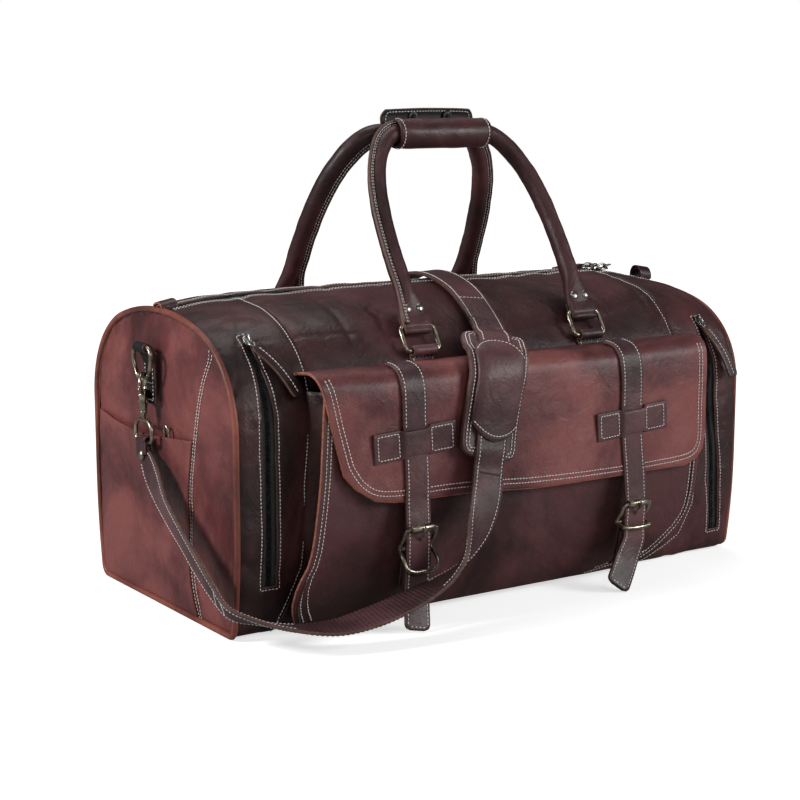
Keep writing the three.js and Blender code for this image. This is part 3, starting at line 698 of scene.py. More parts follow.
STRAP_FRONT = [
    (-0.318, 0.006, 0.1565, (0, 1, -0.2), 0.55), (-0.3185, 0.004, 0.1505, (0, 0.9, -0.4), 0.55),
    (-0.32, -0.008, 0.14, (-0.05, 0.7, -0.7), 0.8), (-0.322, -0.025, 0.1265, (0.07, 0.6, -0.8), 1),
    (-0.3245, -0.05, 0.108, (0.25, 0.5, -0.82), 1), (-0.3265, -0.082, 0.09, (0.32, 0.49, -0.81), 1),
    (-0.327, -0.112, 0.071, (0.33, 0.6, -0.73), 1), (-0.325, -0.139, 0.052, (0.37, 0.68, -0.64), 1),
    (-0.32, -0.162, 0.036, (0.45, 0.64, -0.55), 1), (-0.303, -0.179, 0.0295, (0.5, 0.72, -0.35), 1),
    (-0.276, -0.197, 0.0235, (0.5, 0.83, -0.17), 1), (-0.24, -0.211, 0.0215, (0.28, 0.96, 0.08), 1),
    (-0.205, -0.217, 0.027, (0.08, 0.98, 0.17), 1), (-0.18, -0.219, 0.033, (0.02, 0.99, 0.13), 1),
    (-0.154, -0.22, 0.041, (0, 1, 0.05), 1), (-0.13, -0.221, 0.051, (0.08, 0.98, -0.17), 1),
    (-0.112, -0.221, 0.0625, (0.27, 0.86, -0.44), 1), (-0.098, -0.218, 0.076, (0.58, 0.55, -0.61), 1),
    (-0.085, -0.213, 0.094, (0.84, 0.15, -0.5), 1), (-0.073, -0.206, 0.117, (0.93, -0.05, -0.26), 1),
    (-0.065, -0.1995, 0.144, (1, 0, -0.2), 1),
]
PAD_ROUTE = [
    (-0.064, -0.196, 0.151, (1, 0, -0.2), 1), (-0.057, -0.19, 0.178, (1, 0, -0.15), 1),
    (-0.05, -0.1885, 0.21, (1, 0, -0.1), 1), (-0.045, -0.1865, 0.229, (1, 0, 0), 1),
    (-0.04, -0.1785, 0.243, (1, 0, 0), 1), (-0.033, -0.164, 0.2515, (1, 0, 0.05), 1),
    (-0.025, -0.149, 0.259, (1, 0, 0.05), 1),
]
STRAP_BACK = [
    (-0.0235, -0.146, 0.2605, (1, 0, 0), 1), (-0.015, -0.12, 0.273, (1, 0, 0), 1),
    (-0.008, -0.092, 0.2865, (1, 0, 0), 1), (-0.002, -0.066, 0.2955, (1, 0, 0), 1),
    (0.008, -0.022, 0.3025, (1, 0, 0), 1), (0.019, 0.022, 0.3025, (1, 0, 0), 1),
    (0.03, 0.066, 0.2955, (1, 0, 0), 1), (0.039, 0.097, 0.2845, (1, 0, 0.1), 1),
    (0.048, 0.124, 0.2645, (1, 0, 0.2), 1), (0.057, 0.145, 0.234, (1, 0, 0.25), 1),
    (0.069, 0.156, 0.195, (1, 0, 0.35), 1), (0.088, 0.163, 0.15, (0.9, 0, 0.5), 1),
    (0.118, 0.168, 0.108, (0.7, 0, 0.75), 1), (0.158, 0.171, 0.082, (0.3, 0, 0.95), 1),
    (0.208, 0.171, 0.072, (0, 0, 1), 1), (0.258, 0.168, 0.078, (-0.2, 0, 1), 1),
    (0.3, 0.157, 0.092, (-0.2, 0.2, 1), 1), (0.328, 0.13, 0.106, (0, 0.4, 0.9), 1),
    (0.336, 0.09, 0.121, (0, 0.5, 0.85), 1), (0.33, 0.05, 0.133, (0, 0.6, 0.8), 1),
    (0.321, 0.02, 0.143, (0, 0.8, 0.5), 0.8), (0.3185, 0.008, 0.1505, (0, 0.9, 0.4), 0.55),
    (0.318, 0.006, 0.1565, (0, 1, 0.2), 0.55),
]


def route(stations, gap):
    """Even steps along a strap's stations: centres, directions across, and shares of the full width."""
    path = smooth([s[:3] for s in stations])
    across = smooth([s[3] for s in stations])
    share = smooth([(i, s[4], 0) for i, s in enumerate(stations)])[:, 1]
    run = lengths(path)
    where = np.linspace(0, run[-1], int(run[-1] / gap) + 1)
    every = at_lengths(np.column_stack([path, across, share]), run, where)
    return every[:, :3], every[:, 3:6], every[:, 6]


def cut_corners(width, left, corner):
    """A strip's width near an end with round corners; left is what remains to that end."""
    cut = np.clip(corner - left, 0, corner)
    return width - 2 * (corner - np.sqrt(corner ** 2 - cut ** 2))


def side_rows(parts, path, sides, ups, offsets, lift, start, stop):
    """A row of stitches at each offset from a strip's middle, between two shares of its length."""
    n = len(path)
    keep = slice(int(start * n), max(int(stop * n), 2))
    for offset in offsets:
        offset = np.broadcast_to(np.asarray(offset, float), n)[keep, None]
        stitch(parts, path[keep] + offset * sides[keep] + lift * ups[keep], ups[keep])


def shoulder_strap(name, stations, ribbed=None):
    """A strap of two layers of leather. Where it shows its back, that is ribbed across."""
    path, across, share = route(stations, 0.0006 if ribbed else 0.003)
    n = len(path)
    thick = np.full(n, STRAP_THICK)
    if ribbed:
        along = np.arange(n) / n
        inside = step(along, ribbed[0], ribbed[0] + 0.03) * (1 - step(along, ribbed[1] - 0.03, ribbed[1]))
        thick += 0.0007 * inside * np.sin(lengths(path) * 2 * math.pi / 0.0042)
    parts = Parts()
    sides, ups = ribbon(parts, path, across, STRAP_WIDE * share, thick, STRAP, DARK_EDGE, STRAP,
                        crown=STRAP_CROWN)
    strap = parts.make(name)
    rows = Parts()
    inset = (STRAP_WIDE / 2 - 0.0034) * share
    spans = [(0.02, ribbed[0]), (ribbed[1], 0.99)] if ribbed else [(0.01, 0.98)]
    for span in spans:
        side_rows(rows, path, sides, ups, [inset, -inset], STRAP_LIFT, *span)
        side_rows(rows, path, sides, -ups, [inset, -inset], STRAP_LIFT, *span)
    for mark in ((0.35, 0.375) if ribbed else (0.075,)):
        i = int(mark * n)
        span = np.linspace(-1, 1, 9)[:, None] * inset[i]
        for face in (1, -1):
            lift = face * STRAP_LIFT * ups[i]
            stitch(rows, path[i] + span * sides[i] + lift, face * ups[i])
    return strap, rows.make(name.replace("leather", "stitching")), path


def strap_pieces():
    front, front_rows, front_path = shoulder_strap("strap_front_leather", STRAP_FRONT, ribbed=(0.50, 0.76))
    back, back_rows, back_path = shoulder_strap("strap_back_leather", STRAP_BACK)
    for piece in (front, front_rows):
        rides(piece, "flap", "strap_leather" if piece is front else None, bend=STRAP_BEND)
    for piece in (back, back_rows):
        rides(piece, "root", "strap_leather" if piece is back else None)
    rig.replaces(front, "shoulder_strap_front")
    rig.replaces(back, "shoulder_strap_back")
    return (front, front_rows, front_path), (back, back_rows, back_path)


(strap_front, front_rows, front_path), (strap_back, back_rows, back_path) = strap_pieces()

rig.cord(strap_front, exit=front_path[0], length=0.54, diameter=STRAP_WIDE, far_end="object",
        stiffness="medium", lay="hanging", path=front_path[::6], with_pieces=[front_rows])
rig.cord(strap_back, exit=back_path[-1], length=0.86, diameter=STRAP_WIDE, far_end="object",
        stiffness="medium", lay="hanging", path=back_path[::-1], with_pieces=[back_rows])


# ---------- the body's section ----------

def arc(y, z, radius, start, stop, count):
    angle = np.radians(np.linspace(start, stop, count))
    return np.stack([y + radius * np.cos(angle), z + radius * np.sin(angle)], 1)


def body_section():
    """The whole outline as (y, z): up the front, over the top and down the back."""
    turn = math.degrees(SHOULDER_TURN)
    end_y = (WIDE_Y - SHOULDER_R) + SHOULDER_R * math.cos(SHOULDER_TURN)
    end_z = SHOULDER_Z + SHOULDER_R * math.sin(SHOULDER_TURN)
    crown_r = end_y / math.cos(SHOULDER_TURN)
    crown_z = end_z - crown_r * math.sin(SHOULDER_TURN)
    t = np.linspace(0, 1, 10)[1:]
    foot = BASE_Y + CORNER
    side = np.stack([-(foot + (WIDE_Y - foot) * (1 - (1 - t) ** 2)), CORNER + t * (UPRIGHT_Z - CORNER)], 1)
    half = np.concatenate([
        arc(-BASE_Y, CORNER, CORNER, 270, 180, 7), side,
        arc(-(WIDE_Y - SHOULDER_R), SHOULDER_Z, SHOULDER_R, 180, 180 - turn, 25),
        arc(0, crown_z, crown_r, 180 - turn, 90, 13)[1:],
    ])
    other = half[::-1][1:] * (-1, 1)
    return np.concatenate([half, other])


SECTION = body_section()
RUN = lengths(SECTION)
SECTION_OUT = unit(np.gradient(SECTION, axis=0)[:, ::-1] * (-1, 1))
HALF_RUN = RUN[-1] / 2
FRONT = RUN <= HALF_RUN + 1e-6


def run_at_height(z):
    """How far up the front's outline a height is."""
    return np.interp(z, SECTION[FRONT, 1], RUN[FRONT])


ZIP_RUN = HALF_RUN - ZIP_HALF_GAP


def droop(x, z):
    """How far a point sinks: both ends sag, the more the higher."""
    fall = np.clip((np.abs(x) - SEAM_X) / (END_X + 0.001 - SEAM_X), 0, None) ** 1.3
    return np.where(x < 0, DROOP[-1], DROOP[1]) * fall * np.clip(z / TOP_Z, 0, 2) ** 3


def wrinkles(x, run):
    """How far the leather stands out from its plain shape: soft dents and a few creases along the top."""
    where = np.stack([x, run, np.zeros_like(x)], -1)
    above = step(run, run_at_height(0.243), run_at_height(0.262)) * step(RUN[-1] - run, 0.06, 0.10)
    free = np.clip(above + step(np.abs(x), 0.234, 0.240), 0, 1)
    soft = 0.0022 * noise_at(where * (0.7, 1, 1), 14, 3.1) + 0.0009 * noise_at(where, 38, 7.7)
    crease = 1 - np.clip(np.abs(noise_at(where * (1, 0.45, 1), 17, 11.3)) / 0.16, 0, 1)
    fold = 1 - np.clip(np.abs(noise_at(where * (0.5, 1.5, 1), 21, 23.9)) / 0.12, 0, 1)
    return free * (soft - 0.0013 * crease ** 2 - 0.0011 * fold ** 2 * step(np.abs(x), 0.0, 0.1))


def body_skin(x, run, lift=0.0, plain=False):
    """Points and outward directions on the body's surface."""
    x, run = np.broadcast_arrays(np.asarray(x, float), np.asarray(run, float))
    yz = np.stack([np.interp(run, RUN, SECTION[:, i]) for i in (0, 1)], -1)
    out = unit(np.stack([np.interp(run, RUN, SECTION_OUT[:, i]) for i in (0, 1)], -1))
    tuck = np.clip((np.abs(x) - (END_X - 0.013)) / 0.0115, 0, 1.1) ** 2 * 0.0030
    out_by = lift - tuck + (0 if plain else wrinkles(x, run))
    seam = np.exp(-((np.abs(x) - SEAM_X) / 0.006) ** 2) * 0.0012
    yz = yz + out * (out_by - seam)[..., None]
    z = yz[..., 1] - droop(x, yz[..., 1])
    normals = np.stack([np.sign(x) * tuck * 60, out[..., 0], out[..., 1]], -1)
    return np.stack([x, yz[..., 0], np.maximum(z, 0.0002)], -1), unit(normals)


def skin_line(parts, points):
    """Stitches on the body along (x, run) points."""
    line = evenly(np.asarray(points, float), 0.002)
    path, normals = body_skin(line[:, 0], line[:, 1], lift=0.0001)
    stitch(parts, path, normals)


SEAM_LINES = {
    -1: ((0.000, 0.013, 0.063, 0.104, 0.137, 0.220), (0.258, 0.255, 0.233, 0.230, 0.230, SEAM_X)),
    1: ((0.000, 0.008, 0.025, 0.060, 0.105, 0.170, 0.240),
        (0.180, 0.193, 0.231, 0.247, 0.247, 0.236, SEAM_X)),
}


def front_seam(sign, run):
    """The centre panel's edge, which wanders a little and sweeps to the left near the floor."""
    z = np.where(np.asarray(run) < HALF_RUN, np.interp(run, RUN, SECTION[:, 1]), 1.0)
    return sign * np.interp(z, *SEAM_LINES[sign])


def skin_panel(part, leathers, columns, runs, keep=None):
    """A panel of the body. columns(run) gives its x values at one height."""
    x = np.array([columns(run) for run in runs]).T
    run = np.broadcast_to(runs, x.shape)
    points, _ = body_skin(x, run)
    normals = grid_normals(points)
    parts = Parts()
    panel(parts, points, normals, HIDE, *leathers, keep=keep)
    parts.ride(f"{part}_leather", "root", "brown_leather", [part])


def centre_panel():
    runs = np.concatenate([np.linspace(0.001, run_at_height(0.24), 36),
                           np.linspace(run_at_height(0.243), ZIP_RUN, 60)])

    def columns(run):
        return np.linspace(front_seam(-1, run) + SEAM_GAP, front_seam(1, run) - SEAM_GAP, 170)

    skin_panel("front_panel", (BROWN, DARK_EDGE, INSIDE), columns, runs)


def back_panel():
    runs = np.linspace(RUN[-1] - 0.001, RUN[-1] - ZIP_RUN, 90)[::-1]

    def columns(run):
        return np.linspace(-BAND_END_X - 0.003, BAND_END_X + 0.003, 220)

    skin_panel("back_panel", (BROWN, DARK_EDGE, INSIDE), columns, runs)


def zip_edges(sign, run):
    """Both edges of a side window. It closes a little towards its top; the right one slants at its foot."""
    x, _, high, *_ = SIDE_ZIPS[sign]
    z = np.interp(run, RUN, SECTION[:, 1])
    half = SIDE_ZIP_HALF * (1 - 0.45 * step(z, high - 0.08, high)) - 0.0035
    middle = x + (0.014 * step(0.19 - z, 0, 0.17) + 0.0011 * np.sin(run * 62) if sign > 0 else 0.0)
    return middle - half, middle + half


def end_band(side, sign):
    low, high = (run_at_height(z) for z in SIDE_ZIPS[sign][1:3])
    runs = np.concatenate([
        np.linspace(0.001, low, 14), np.linspace(low, high, 70)[1:], np.linspace(high, ZIP_RUN, 24)[1:],
    ])
    counts = (14, 3, 14)

    def columns(run):
        stops = [abs(front_seam(sign, run)) + SEAM_GAP, *zip_edges(sign, run), END_X - 0.0012]
        rows = [np.linspace(a, b, n + 1)[bool(i):]
                for i, (a, b, n) in enumerate(zip(stops, stops[1:], counts))]
        return np.concatenate(rows)[::sign] * sign

    keep = np.ones((sum(counts), len(runs) - 1), bool)
    inside = (runs[:-1] >= low - 1e-9) & (runs[1:] <= high + 1e-9)
    keep[counts[0]:counts[0] + counts[1], inside] = False
    # The left band is painted darker than the right one: partly darker leather, partly painted shade.
    kinds = (DARK_AND_SHADE if sign < 0 else BROWN, DARK_EDGE, INSIDE)
    skin_panel(f"{side}_end_band", kinds, columns, runs, keep)
    rows = Parts()
    inset = 0.0022
    heights = np.linspace(low - inset, high + inset, 60)
    for way, edge in zip((-1, 1), zip_edges(sign, heights)):
        skin_line(rows, np.stack([sign * (edge + way * (inset + 0.0006)), heights], 1))
    for height in (low - inset, high + inset):
        a, b = zip_edges(sign, height)
        skin_line(rows, [(sign * (a - inset), height), (sign * (b + inset), height)])
    return rows


def seam_rows(rows):
    """Single stitching beside the panel seams, double stitching beside the top zip."""
    runs = np.linspace(0.004, ZIP_RUN - 0.002, 90)
    for sign in (-1, 1):
        skin_line(rows, np.stack([front_seam(sign, runs) - 0.0035, runs], 1))
    for inset in (0.0030, 0.0072):
        for run in (ZIP_RUN - inset, RUN[-1] - ZIP_RUN + inset):
            skin_line(rows, [(-BAND_END_X + 0.004, run), (BAND_END_X - 0.004, run)])


def side_window(side, sign):
    """The black tape behind a side window, with its closed teeth down the middle."""
    low, high = (run_at_height(z) for z in SIDE_ZIPS[sign][1:3])

    def middle(run):
        return sign * sum(zip_edges(sign, run)) / 2

    tape = Parts()
    x, run = np.meshgrid(np.linspace(-0.0098, 0.0098, 9), np.linspace(low - 0.004, high + 0.003, 60),
                         indexing="ij")
    points, _ = body_skin(x + middle(run), run, -HIDE - 0.0006, plain=True)
    panel(tape, points, grid_normals(points), TAPE_THICK, TAPE, TAPE, TAPE)
    tape.ride(f"{side}_side_zip_tape_cloth", "root", "zip_tape", [f"{side}_side_zip_tape"])
    teeth = Parts()
    for shift in (-0.0011, 0.0011):
        centres = np.arange(low, high, 0.0021) + (0.001 if shift > 0 else 0)
        path, normals = body_skin(middle(centres) + shift, centres, -HIDE - 0.0004, plain=True)
        tooth_row(teeth, path, normals, (1, 0, 0), wide=0.0030, long=0.0012, high=0.0013)
    teeth.ride(f"{side}_side_zip_teeth", "root")


def tooth_row(parts, centres, ups, across, wide, long, high):
    """Small closed blocks in a row, each tapering upwards."""
    ups = unit(ups)
    across = np.broadcast_to(unit(across), centres.shape)
    along = unit(np.cross(ups, across))
    corners = [(a, b, c) for c in (0, 1) for a, b in ((-1, -1), (1, -1), (1, 1), (-1, 1))]
    shape = np.array([(a * wide / 2 * (1 - 0.25 * c), b * long / 2 * (1 - 0.3 * c), c * high)
                      for a, b, c in corners])
    block = [[3, 2, 1, 0], [4, 5, 6, 7], [0, 1, 5, 4], [1, 2, 6, 5], [2, 3, 7, 6], [3, 0, 4, 7]]
    points = set_down(centres, shape, (across, along, ups))
    parts.add(points, [[i + 8 * n for i in face] for n in range(len(centres)) for face in block], TEETH)


def top_zip():
    tape = Parts()
    xs = np.linspace(-0.302, 0.302, 120)
    ys = np.linspace(-0.0105, 0.0105, 9)
    x, y = np.meshgrid(xs, ys, indexing="ij")
    z = TOP_Z - 0.0030 - droop(x, TOP_Z + 0 * x) + 0.0006 * np.cos(y * 300)
    points = np.stack([x, y, z], -1)
    panel(tape, points, grid_normals(points), TAPE_THICK, TAPE, TAPE, TAPE)
    tape.ride("top_zip_tape_cloth", "root", "zip_tape", ["top_zip_tape"])
    teeth = Parts()
    ends, pitch = 0.294, 0.0026
    for shift in (-0.0015, 0.0015):
        xs = np.arange(-ends, ends, pitch) + (pitch / 2 if shift > 0 else 0)
        centres = np.stack([xs, 0 * xs + shift, TOP_Z - 0.0026 - droop(xs, TOP_Z + 0 * xs)], 1)
        ups = np.tile((0.0, 0.0, 1.0), (len(xs), 1))
        tooth_row(teeth, centres, ups, (0, 1, 0), wide=0.0040, long=0.0014, high=0.0017)
    teeth.ride("top_zip_teeth", "root")


def base():
    parts = Parts()
    x, y = np.meshgrid(np.linspace(-BAND_END_X, BAND_END_X, 60), np.linspace(-0.1255, 0.1255, 30),
                       indexing="ij")
    points = np.stack([x, y, 0 * x + 0.0003], -1)
    panel(parts, points[::-1], grid_normals(points[::-1]), 0.0028, BROWN, DARK_EDGE, INSIDE, rim=0.0002)
    parts.ride("base_leather", "root", "brown_leather", ["base_panel"])


centre_panel()
back_panel()
body_rows = Parts()
seam_rows(body_rows)
for side, sign in (("left", -1), ("right", 1)):
    rows = end_band(side, sign)
    rows.ride(f"{side}_window_stitching", "root")
    side_window(side, sign)
body_rows.ride("body_stitching", "root")
top_zip()
base()


# ---------- sliders and zip ends ----------

def slider(parts, place):
    """A zip slider: a plate, a bridge and its pull's ring. place maps its own (x, y, z) to the bag."""
    def line(points):
        return np.array([place(Vector(p)) for p in points])

    across = line([(1, 0, 0)])[0] - line([(0, 0, 0)])[0]
    up = line([(0, 0, 1)])[0] - line([(0, 0, 0)])[0]
    plate = line([(0, y, 0.0012) for y in np.linspace(0.0062, -0.0062, 9)])
    wide = [0.0045, 0.0072, 0.0086, 0.0088, 0.0088, 0.0084, 0.0078, 0.0068, 0.0050]
    ribbon(parts, plate, across, wide, 0.0018, STEEL, STEEL, crown=0.0008)
    bridge = smooth(line([(0, 0.0050, 0.0014), (0, 0.0044, 0.0044), (0, 0, 0.0058), (0, -0.0044, 0.0044),
                          (0, -0.0050, 0.0014)]), 5)
    wire(parts, bridge, 0.0012, across, STEEL, around=10)
    ring = [(0.0026 * c, -0.0062 + 0.0042 * s, 0.0040 - 0.0008 * s) for c, s in circle(16)]
    wire(parts, line(ring), 0.0007, up, STEEL, closed=True, around=8)


def zip_pull(name, body, matrix, points, parts=None):
    """A slider's leather pull, a curved strip with a row of stitching down its middle."""
    rows = Parts()
    line = np.array([matrix @ Vector(p) for p in smooth(points, 8)])
    across = np.array(matrix.to_3x3() @ Vector((1, 0, 0)))
    parts = parts or Parts()
    ease = np.clip(np.stack([lengths(line), lengths(line)[-1] - lengths(line)]).min(0) / 0.004, 0, 1)
    _, ups = ribbon(parts, line, across, 0.0095 + 0.0042 * np.sqrt(ease), 0.0024, DARK_AND_SHADE, DARK_EDGE)
    ups = ups * np.sign(ups[0, 2])
    stitch(rows, line[3:-2] + ups[3:-2] * 0.0013, ups[3:-2])
    stitch(rows, line[3:-2] - ups[3:-2] * 0.0013, -ups[3:-2])
    parts.ride(name, body, None if "top" in name else "brown_leather", [body])
    rows.ride(name.replace("leather", "stitching"), body)


def side_slider(side, sign):
    x, _, _, angle, swing = SIDE_ZIPS[sign]
    shoulder = Matrix.Translation((sign * x, SHOULDER_R - WIDE_Y, SHOULDER_Z))
    at = shoulder @ Matrix.Rotation(math.radians(90 - angle), 4, "X")
    metal_parts = Parts()
    slider(metal_parts, lambda p: at @ (p + Vector((0, 0, SHOULDER_R - 0.0008))))
    metal_parts.ride(f"{side}_zip_slider_metal", f"{side}_zip_slider", "antique_metal",
                     [f"{side}_zip_slider"])
    hang = at @ Matrix.Translation((0, -0.0076, SHOULDER_R + 0.006))
    hang = hang @ Matrix.Rotation(math.radians(3), 4, "X") @ Matrix.Rotation(math.radians(swing), 4, "Z")
    run = np.linspace(0.003, 0.062, 7)
    curve = [(0.0030 * math.sin(s * 50), -s, -0.0016 - 2.5 * s * s) for s in run]
    zip_pull(f"{side}_zip_pull_leather", f"{side}_zip_pull", hang, curve)


def top_slider(side, x):
    at = Matrix.Translation((x, 0, TOP_Z - 0.0006 - float(droop(np.array(x), TOP_Z))))
    turned = at @ Matrix.Rotation(math.radians(180), 4, "Z")
    metal_parts = Parts()
    across = at @ Matrix.Rotation(math.radians(90), 4, "Z")
    slider(metal_parts, lambda p: across @ (p * 1.15))
    curve = [(0, -s, 0.0046 - 0.06 * s - 1.6 * s * s) for s in np.linspace(0.009, 0.056, 7)]
    zip_pull(f"top_slider_{side}_leather", f"top_slider_{side}", turned, curve, metal_parts)


def zip_end_tab(side, sign):
    """The folded piece of leather that closes the end of the top zip."""
    low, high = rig.box(f"zip_end_tab_{side}")
    base_z, parts = low.z - (0.0060 if sign < 0 else 0.0035), Parts()
    high_y = 0.0085 if sign < 0 else 0.0115
    fold = [(-0.0090, -0.001), (-0.0085, 0.006), (-0.0045, high_y), (0.0030, high_y), (0.0070, 0.006),
            (0.0075, -0.001)]
    line = smooth([((low.x + high.x) / 2, y, base_z + z) for y, z in fold], 6)
    kinds = (BROWN, EDGE) if sign < 0 else (DARK_AND_SHADE, DARK_AND_SHADE)
    wide = (high.x - low.x) * (0.72 if sign < 0 else 1)
    ribbon(parts, line, (1, 0, sign * -0.18), wide, 0.0020, *kinds)
    ribbon(parts, line + (0, 0, -0.0026), (1, 0, sign * -0.18), wide - 0.004, 0.0018, *kinds)
    parts.ride(f"zip_end_tab_{side}_leather", "root", "brown_leather", [f"zip_end_tab_{side}"])


for side, sign, x in (("left", -1, 0.216), ("right", 1, 0.236)):
    side_slider(side, sign)
    top_slider(side, x)
    zip_end_tab(side, sign)


# ---------- front pocket ----------

POCKET_EDGES = (  # height, then the left and right edges of the pocket's front
    (0.006, 0.012, 0.022, 0.032, 0.045, 0.057, 0.067, 0.080, 0.111, 0.121, 0.153, 0.222),
    (-0.240, -0.249, -0.254, -0.256, -0.2545, -0.250, -0.2445, -0.2415, -0.238, -0.237, -0.234, -0.230),
    (0.146, 0.168, 0.184, 0.195, 0.207, 0.2135, 0.216, 0.2175, 0.219, 0.2192, 0.220, 0.221),
)


def pocket_line():
    path = smooth([(0, y, z) for y, z in POCKET_LINE], 10)
    return evenly(path, 0.002)[:, 1:]


def pocket_edges(z):
    return [np.interp(z, POCKET_EDGES[0], POCKET_EDGES[i]) for i in (1, 2)]


def pocket_front(share, z, lift=0.0):
    """Points on the pocket's front: share goes from -1 at its left edge to 1 at its right."""
    line = pocket_line()[::-1]
    y = np.interp(z, line[:, 1], line[:, 0])
    left, right = pocket_edges(z)
    x = (left + right) / 2 + share * (right - left) / 2
    place = np.stack([x, y, z], -1)
    soft = 0.0016 * noise_at(place, 11, 41.0) + 0.0006 * noise_at(place, 37, 5.0)
    edge = 0.0035 * np.abs(share) ** 12 * step(z, 0.02, 0.1)
    belly = 0.0025 * (1 - share ** 4) * step(z, 0.02, 0.07) * (1 - step(z, 0.12, 0.2))
    return np.stack([x, y - belly - edge - lift + soft, np.maximum(z, 0.0012)], -1)


def body_y(z):
    """Where the body's front stands at a height."""
    return np.interp(z, SECTION[FRONT, 1], SECTION[FRONT, 0])


def pocket():
    bent = 0.0062 + 0.05 * np.linspace(0, 1, 22) ** 1.6
    heights = np.concatenate([bent, np.linspace(0.0562, 0.222, 50)[1:]])
    turn = np.linspace(-1, 1, 150)
    share, z = np.meshgrid(np.sin(turn * math.pi / 2) * 0.35 + turn * 0.65, heights, indexing="ij")
    points = pocket_front(share, z)
    parts = Parts()
    panel(parts, points, grid_normals(points), 0.0026, BROWN, EDGE, INSIDE, rim=0.0007)
    gusset(parts, heights)
    parts.ride("front_pocket_leather", "root", "brown_leather", ["front_pocket"])
    rows = Parts()
    for inset in (0.0045, 0.0090):
        for sign in (-1, 1):
            z = np.linspace(0.216, 0.012, 100)
            left, right = pocket_edges(z)
            share_in = inset * (1.9 - 0.9 * step(z, 0.01, 0.07)) * 2 / (right - left)
            stitch_on_pocket(rows, sign * (1 - share_in), z)
        stitch_on_pocket(rows, np.linspace(0.68, 0.93, 60), np.linspace(0.0035, 0.013, 60) + inset)
    rows.ride("pocket_stitching", "root")


def stitch_on_pocket(rows, share, z):
    path = pocket_front(share, z, 0.0003)
    normals = np.tile((0, -1.0, 0), (len(path), 1))
    normals[:, 2] = -step(0.07 - z, 0, 0.06) * 0.4
    stitch(rows, path, normals)


def gusset(parts, heights):
    """The side walls, folded inwards like a bellows between the front and the body."""
    for sign in (-1, 1):
        z = heights[heights > 0.008]
        front = pocket_front(np.full(len(z), float(sign)), z)
        front[:, 0] -= sign * 0.0025
        rows = []
        for t in np.linspace(0, 1, 9):
            fold = 0.008 * math.sin(math.pi * t) ** 1.5
            y = front[:, 1] * (1 - t) + (body_y(z) + 0.0004) * t + 0.0005
            inwards = 0.014 * t * step(0.10 - z, 0, 0.05) if sign < 0 else 0
            rows.append(np.stack([front[:, 0] - sign * (fold + 0.0022 * (1 - t) + inwards), y, z], 1))
        points, normals = facing(np.array(rows), (sign, 0, 0))
        panel(parts, points, normals, 0.0018, DARK_AND_SHADE, DARK_EDGE, INSIDE)


# ---------- the flap and its buckled straps ----------

FLAP_PATH = evenly(smooth([(0, y, z) for y, z in FLAP_LINE], 12), 0.001)[:, 1:]
FLAP_RUN = lengths(FLAP_PATH)
FLAP_LONG = FLAP_RUN[-1]
FLAP_OUT = unit(np.gradient(FLAP_PATH, axis=0)[:, ::-1] * (1, -1))
FLAP_FOLD_RUN = 0.032


def flap_skin(x, run, lift=0.0):
    """Points and outward directions on the flap, from its sewn upper edge to its lower edge."""
    x, run = np.broadcast_arrays(np.asarray(x, float), np.asarray(run, float))
    yz = np.stack([np.interp(run, FLAP_RUN, FLAP_PATH[:, i]) for i in (0, 1)], -1)
    out = unit(np.stack([np.interp(run, FLAP_RUN, FLAP_OUT[:, i]) for i in (0, 1)], -1))
    beyond = np.clip(run - FLAP_LONG, 0, None)
    yz = yz + beyond[..., None] * (-0.012, -1.0)
    place = np.stack([x, run, 0 * x], -1)
    hang = step(run, 0.02, FLAP_LONG)
    soft = (0.0022 * noise_at(place, 9, 2.2) + 0.0008 * noise_at(place, 31, 9.1)) * (0.3 + 0.7 * hang)
    curl = 0.0030 * hang ** 3 * (0.5 + 0.5 * np.sin(x * 21 + 0.8))
    sag = 0.0030 * np.exp(-((run - FLAP_FOLD_RUN) / 0.018) ** 2) * (np.cos(x * 27.5 + 0.4) * 0.5 - 0.5)
    ends = -0.0035 * step(np.abs(x + 0.003), 0.19, 0.225) * hang
    yz = yz + out * (lift + soft + curl + sag + ends)[..., None]
    normals = np.stack([0 * x, out[..., 0], out[..., 1]], -1)
    return np.stack([x, yz[..., 0], yz[..., 1]], -1), normals


FLAP_RIGHT = 0.2255
FLAP_BOTTOM = (  # x, then the height of the lower edge
    (-0.212, -0.204, -0.186, -0.165, -0.145, -0.070, 0.0, 0.196, 0.213, 0.222, FLAP_RIGHT),
    (0.150, 0.137, 0.124, 0.1200, 0.119, 0.118, 0.1135, 0.1135, 0.1180, 0.1270, 0.142),
)
FLAP_LEFT = ((0.118, 0.155, 0.192, 0.222, 0.242), (-0.206, -0.215, -0.224, -0.231, -0.236))


def flap_run(z):
    """How far down the flap a height is."""
    return np.interp(-np.asarray(z), -FLAP_PATH[:, 1], FLAP_RUN)


def flap_left(run):
    return np.interp(np.interp(run, FLAP_RUN, FLAP_PATH[:, 1]), *FLAP_LEFT)


def flap_outline(inset):
    """The free edge as (x, run) points, from the top left round to the top right, set in from the edge."""
    left, right = flap_run(np.linspace(0.236, 0.152, 20)), flap_run(np.linspace(0.146, 0.236, 20))
    bottom = np.stack([FLAP_BOTTOM[0], flap_run(FLAP_BOTTOM[1])], 1)
    sides = [np.stack([flap_left(left), left], 1), np.stack([0 * right + FLAP_RIGHT, right], 1)]
    edge = np.concatenate([sides[0], bottom, sides[1]])
    edge = evenly(smooth(np.column_stack([edge, np.zeros(len(edge))]), 6), 0.002)[:, :2]
    for _ in range(12):
        edge[1:-1] = (edge[:-2] + edge[1:-1] * 2 + edge[2:]) / 4
    along = tangents(edge)
    return edge + inset * np.stack([along[:, 1], -along[:, 0]], 1)


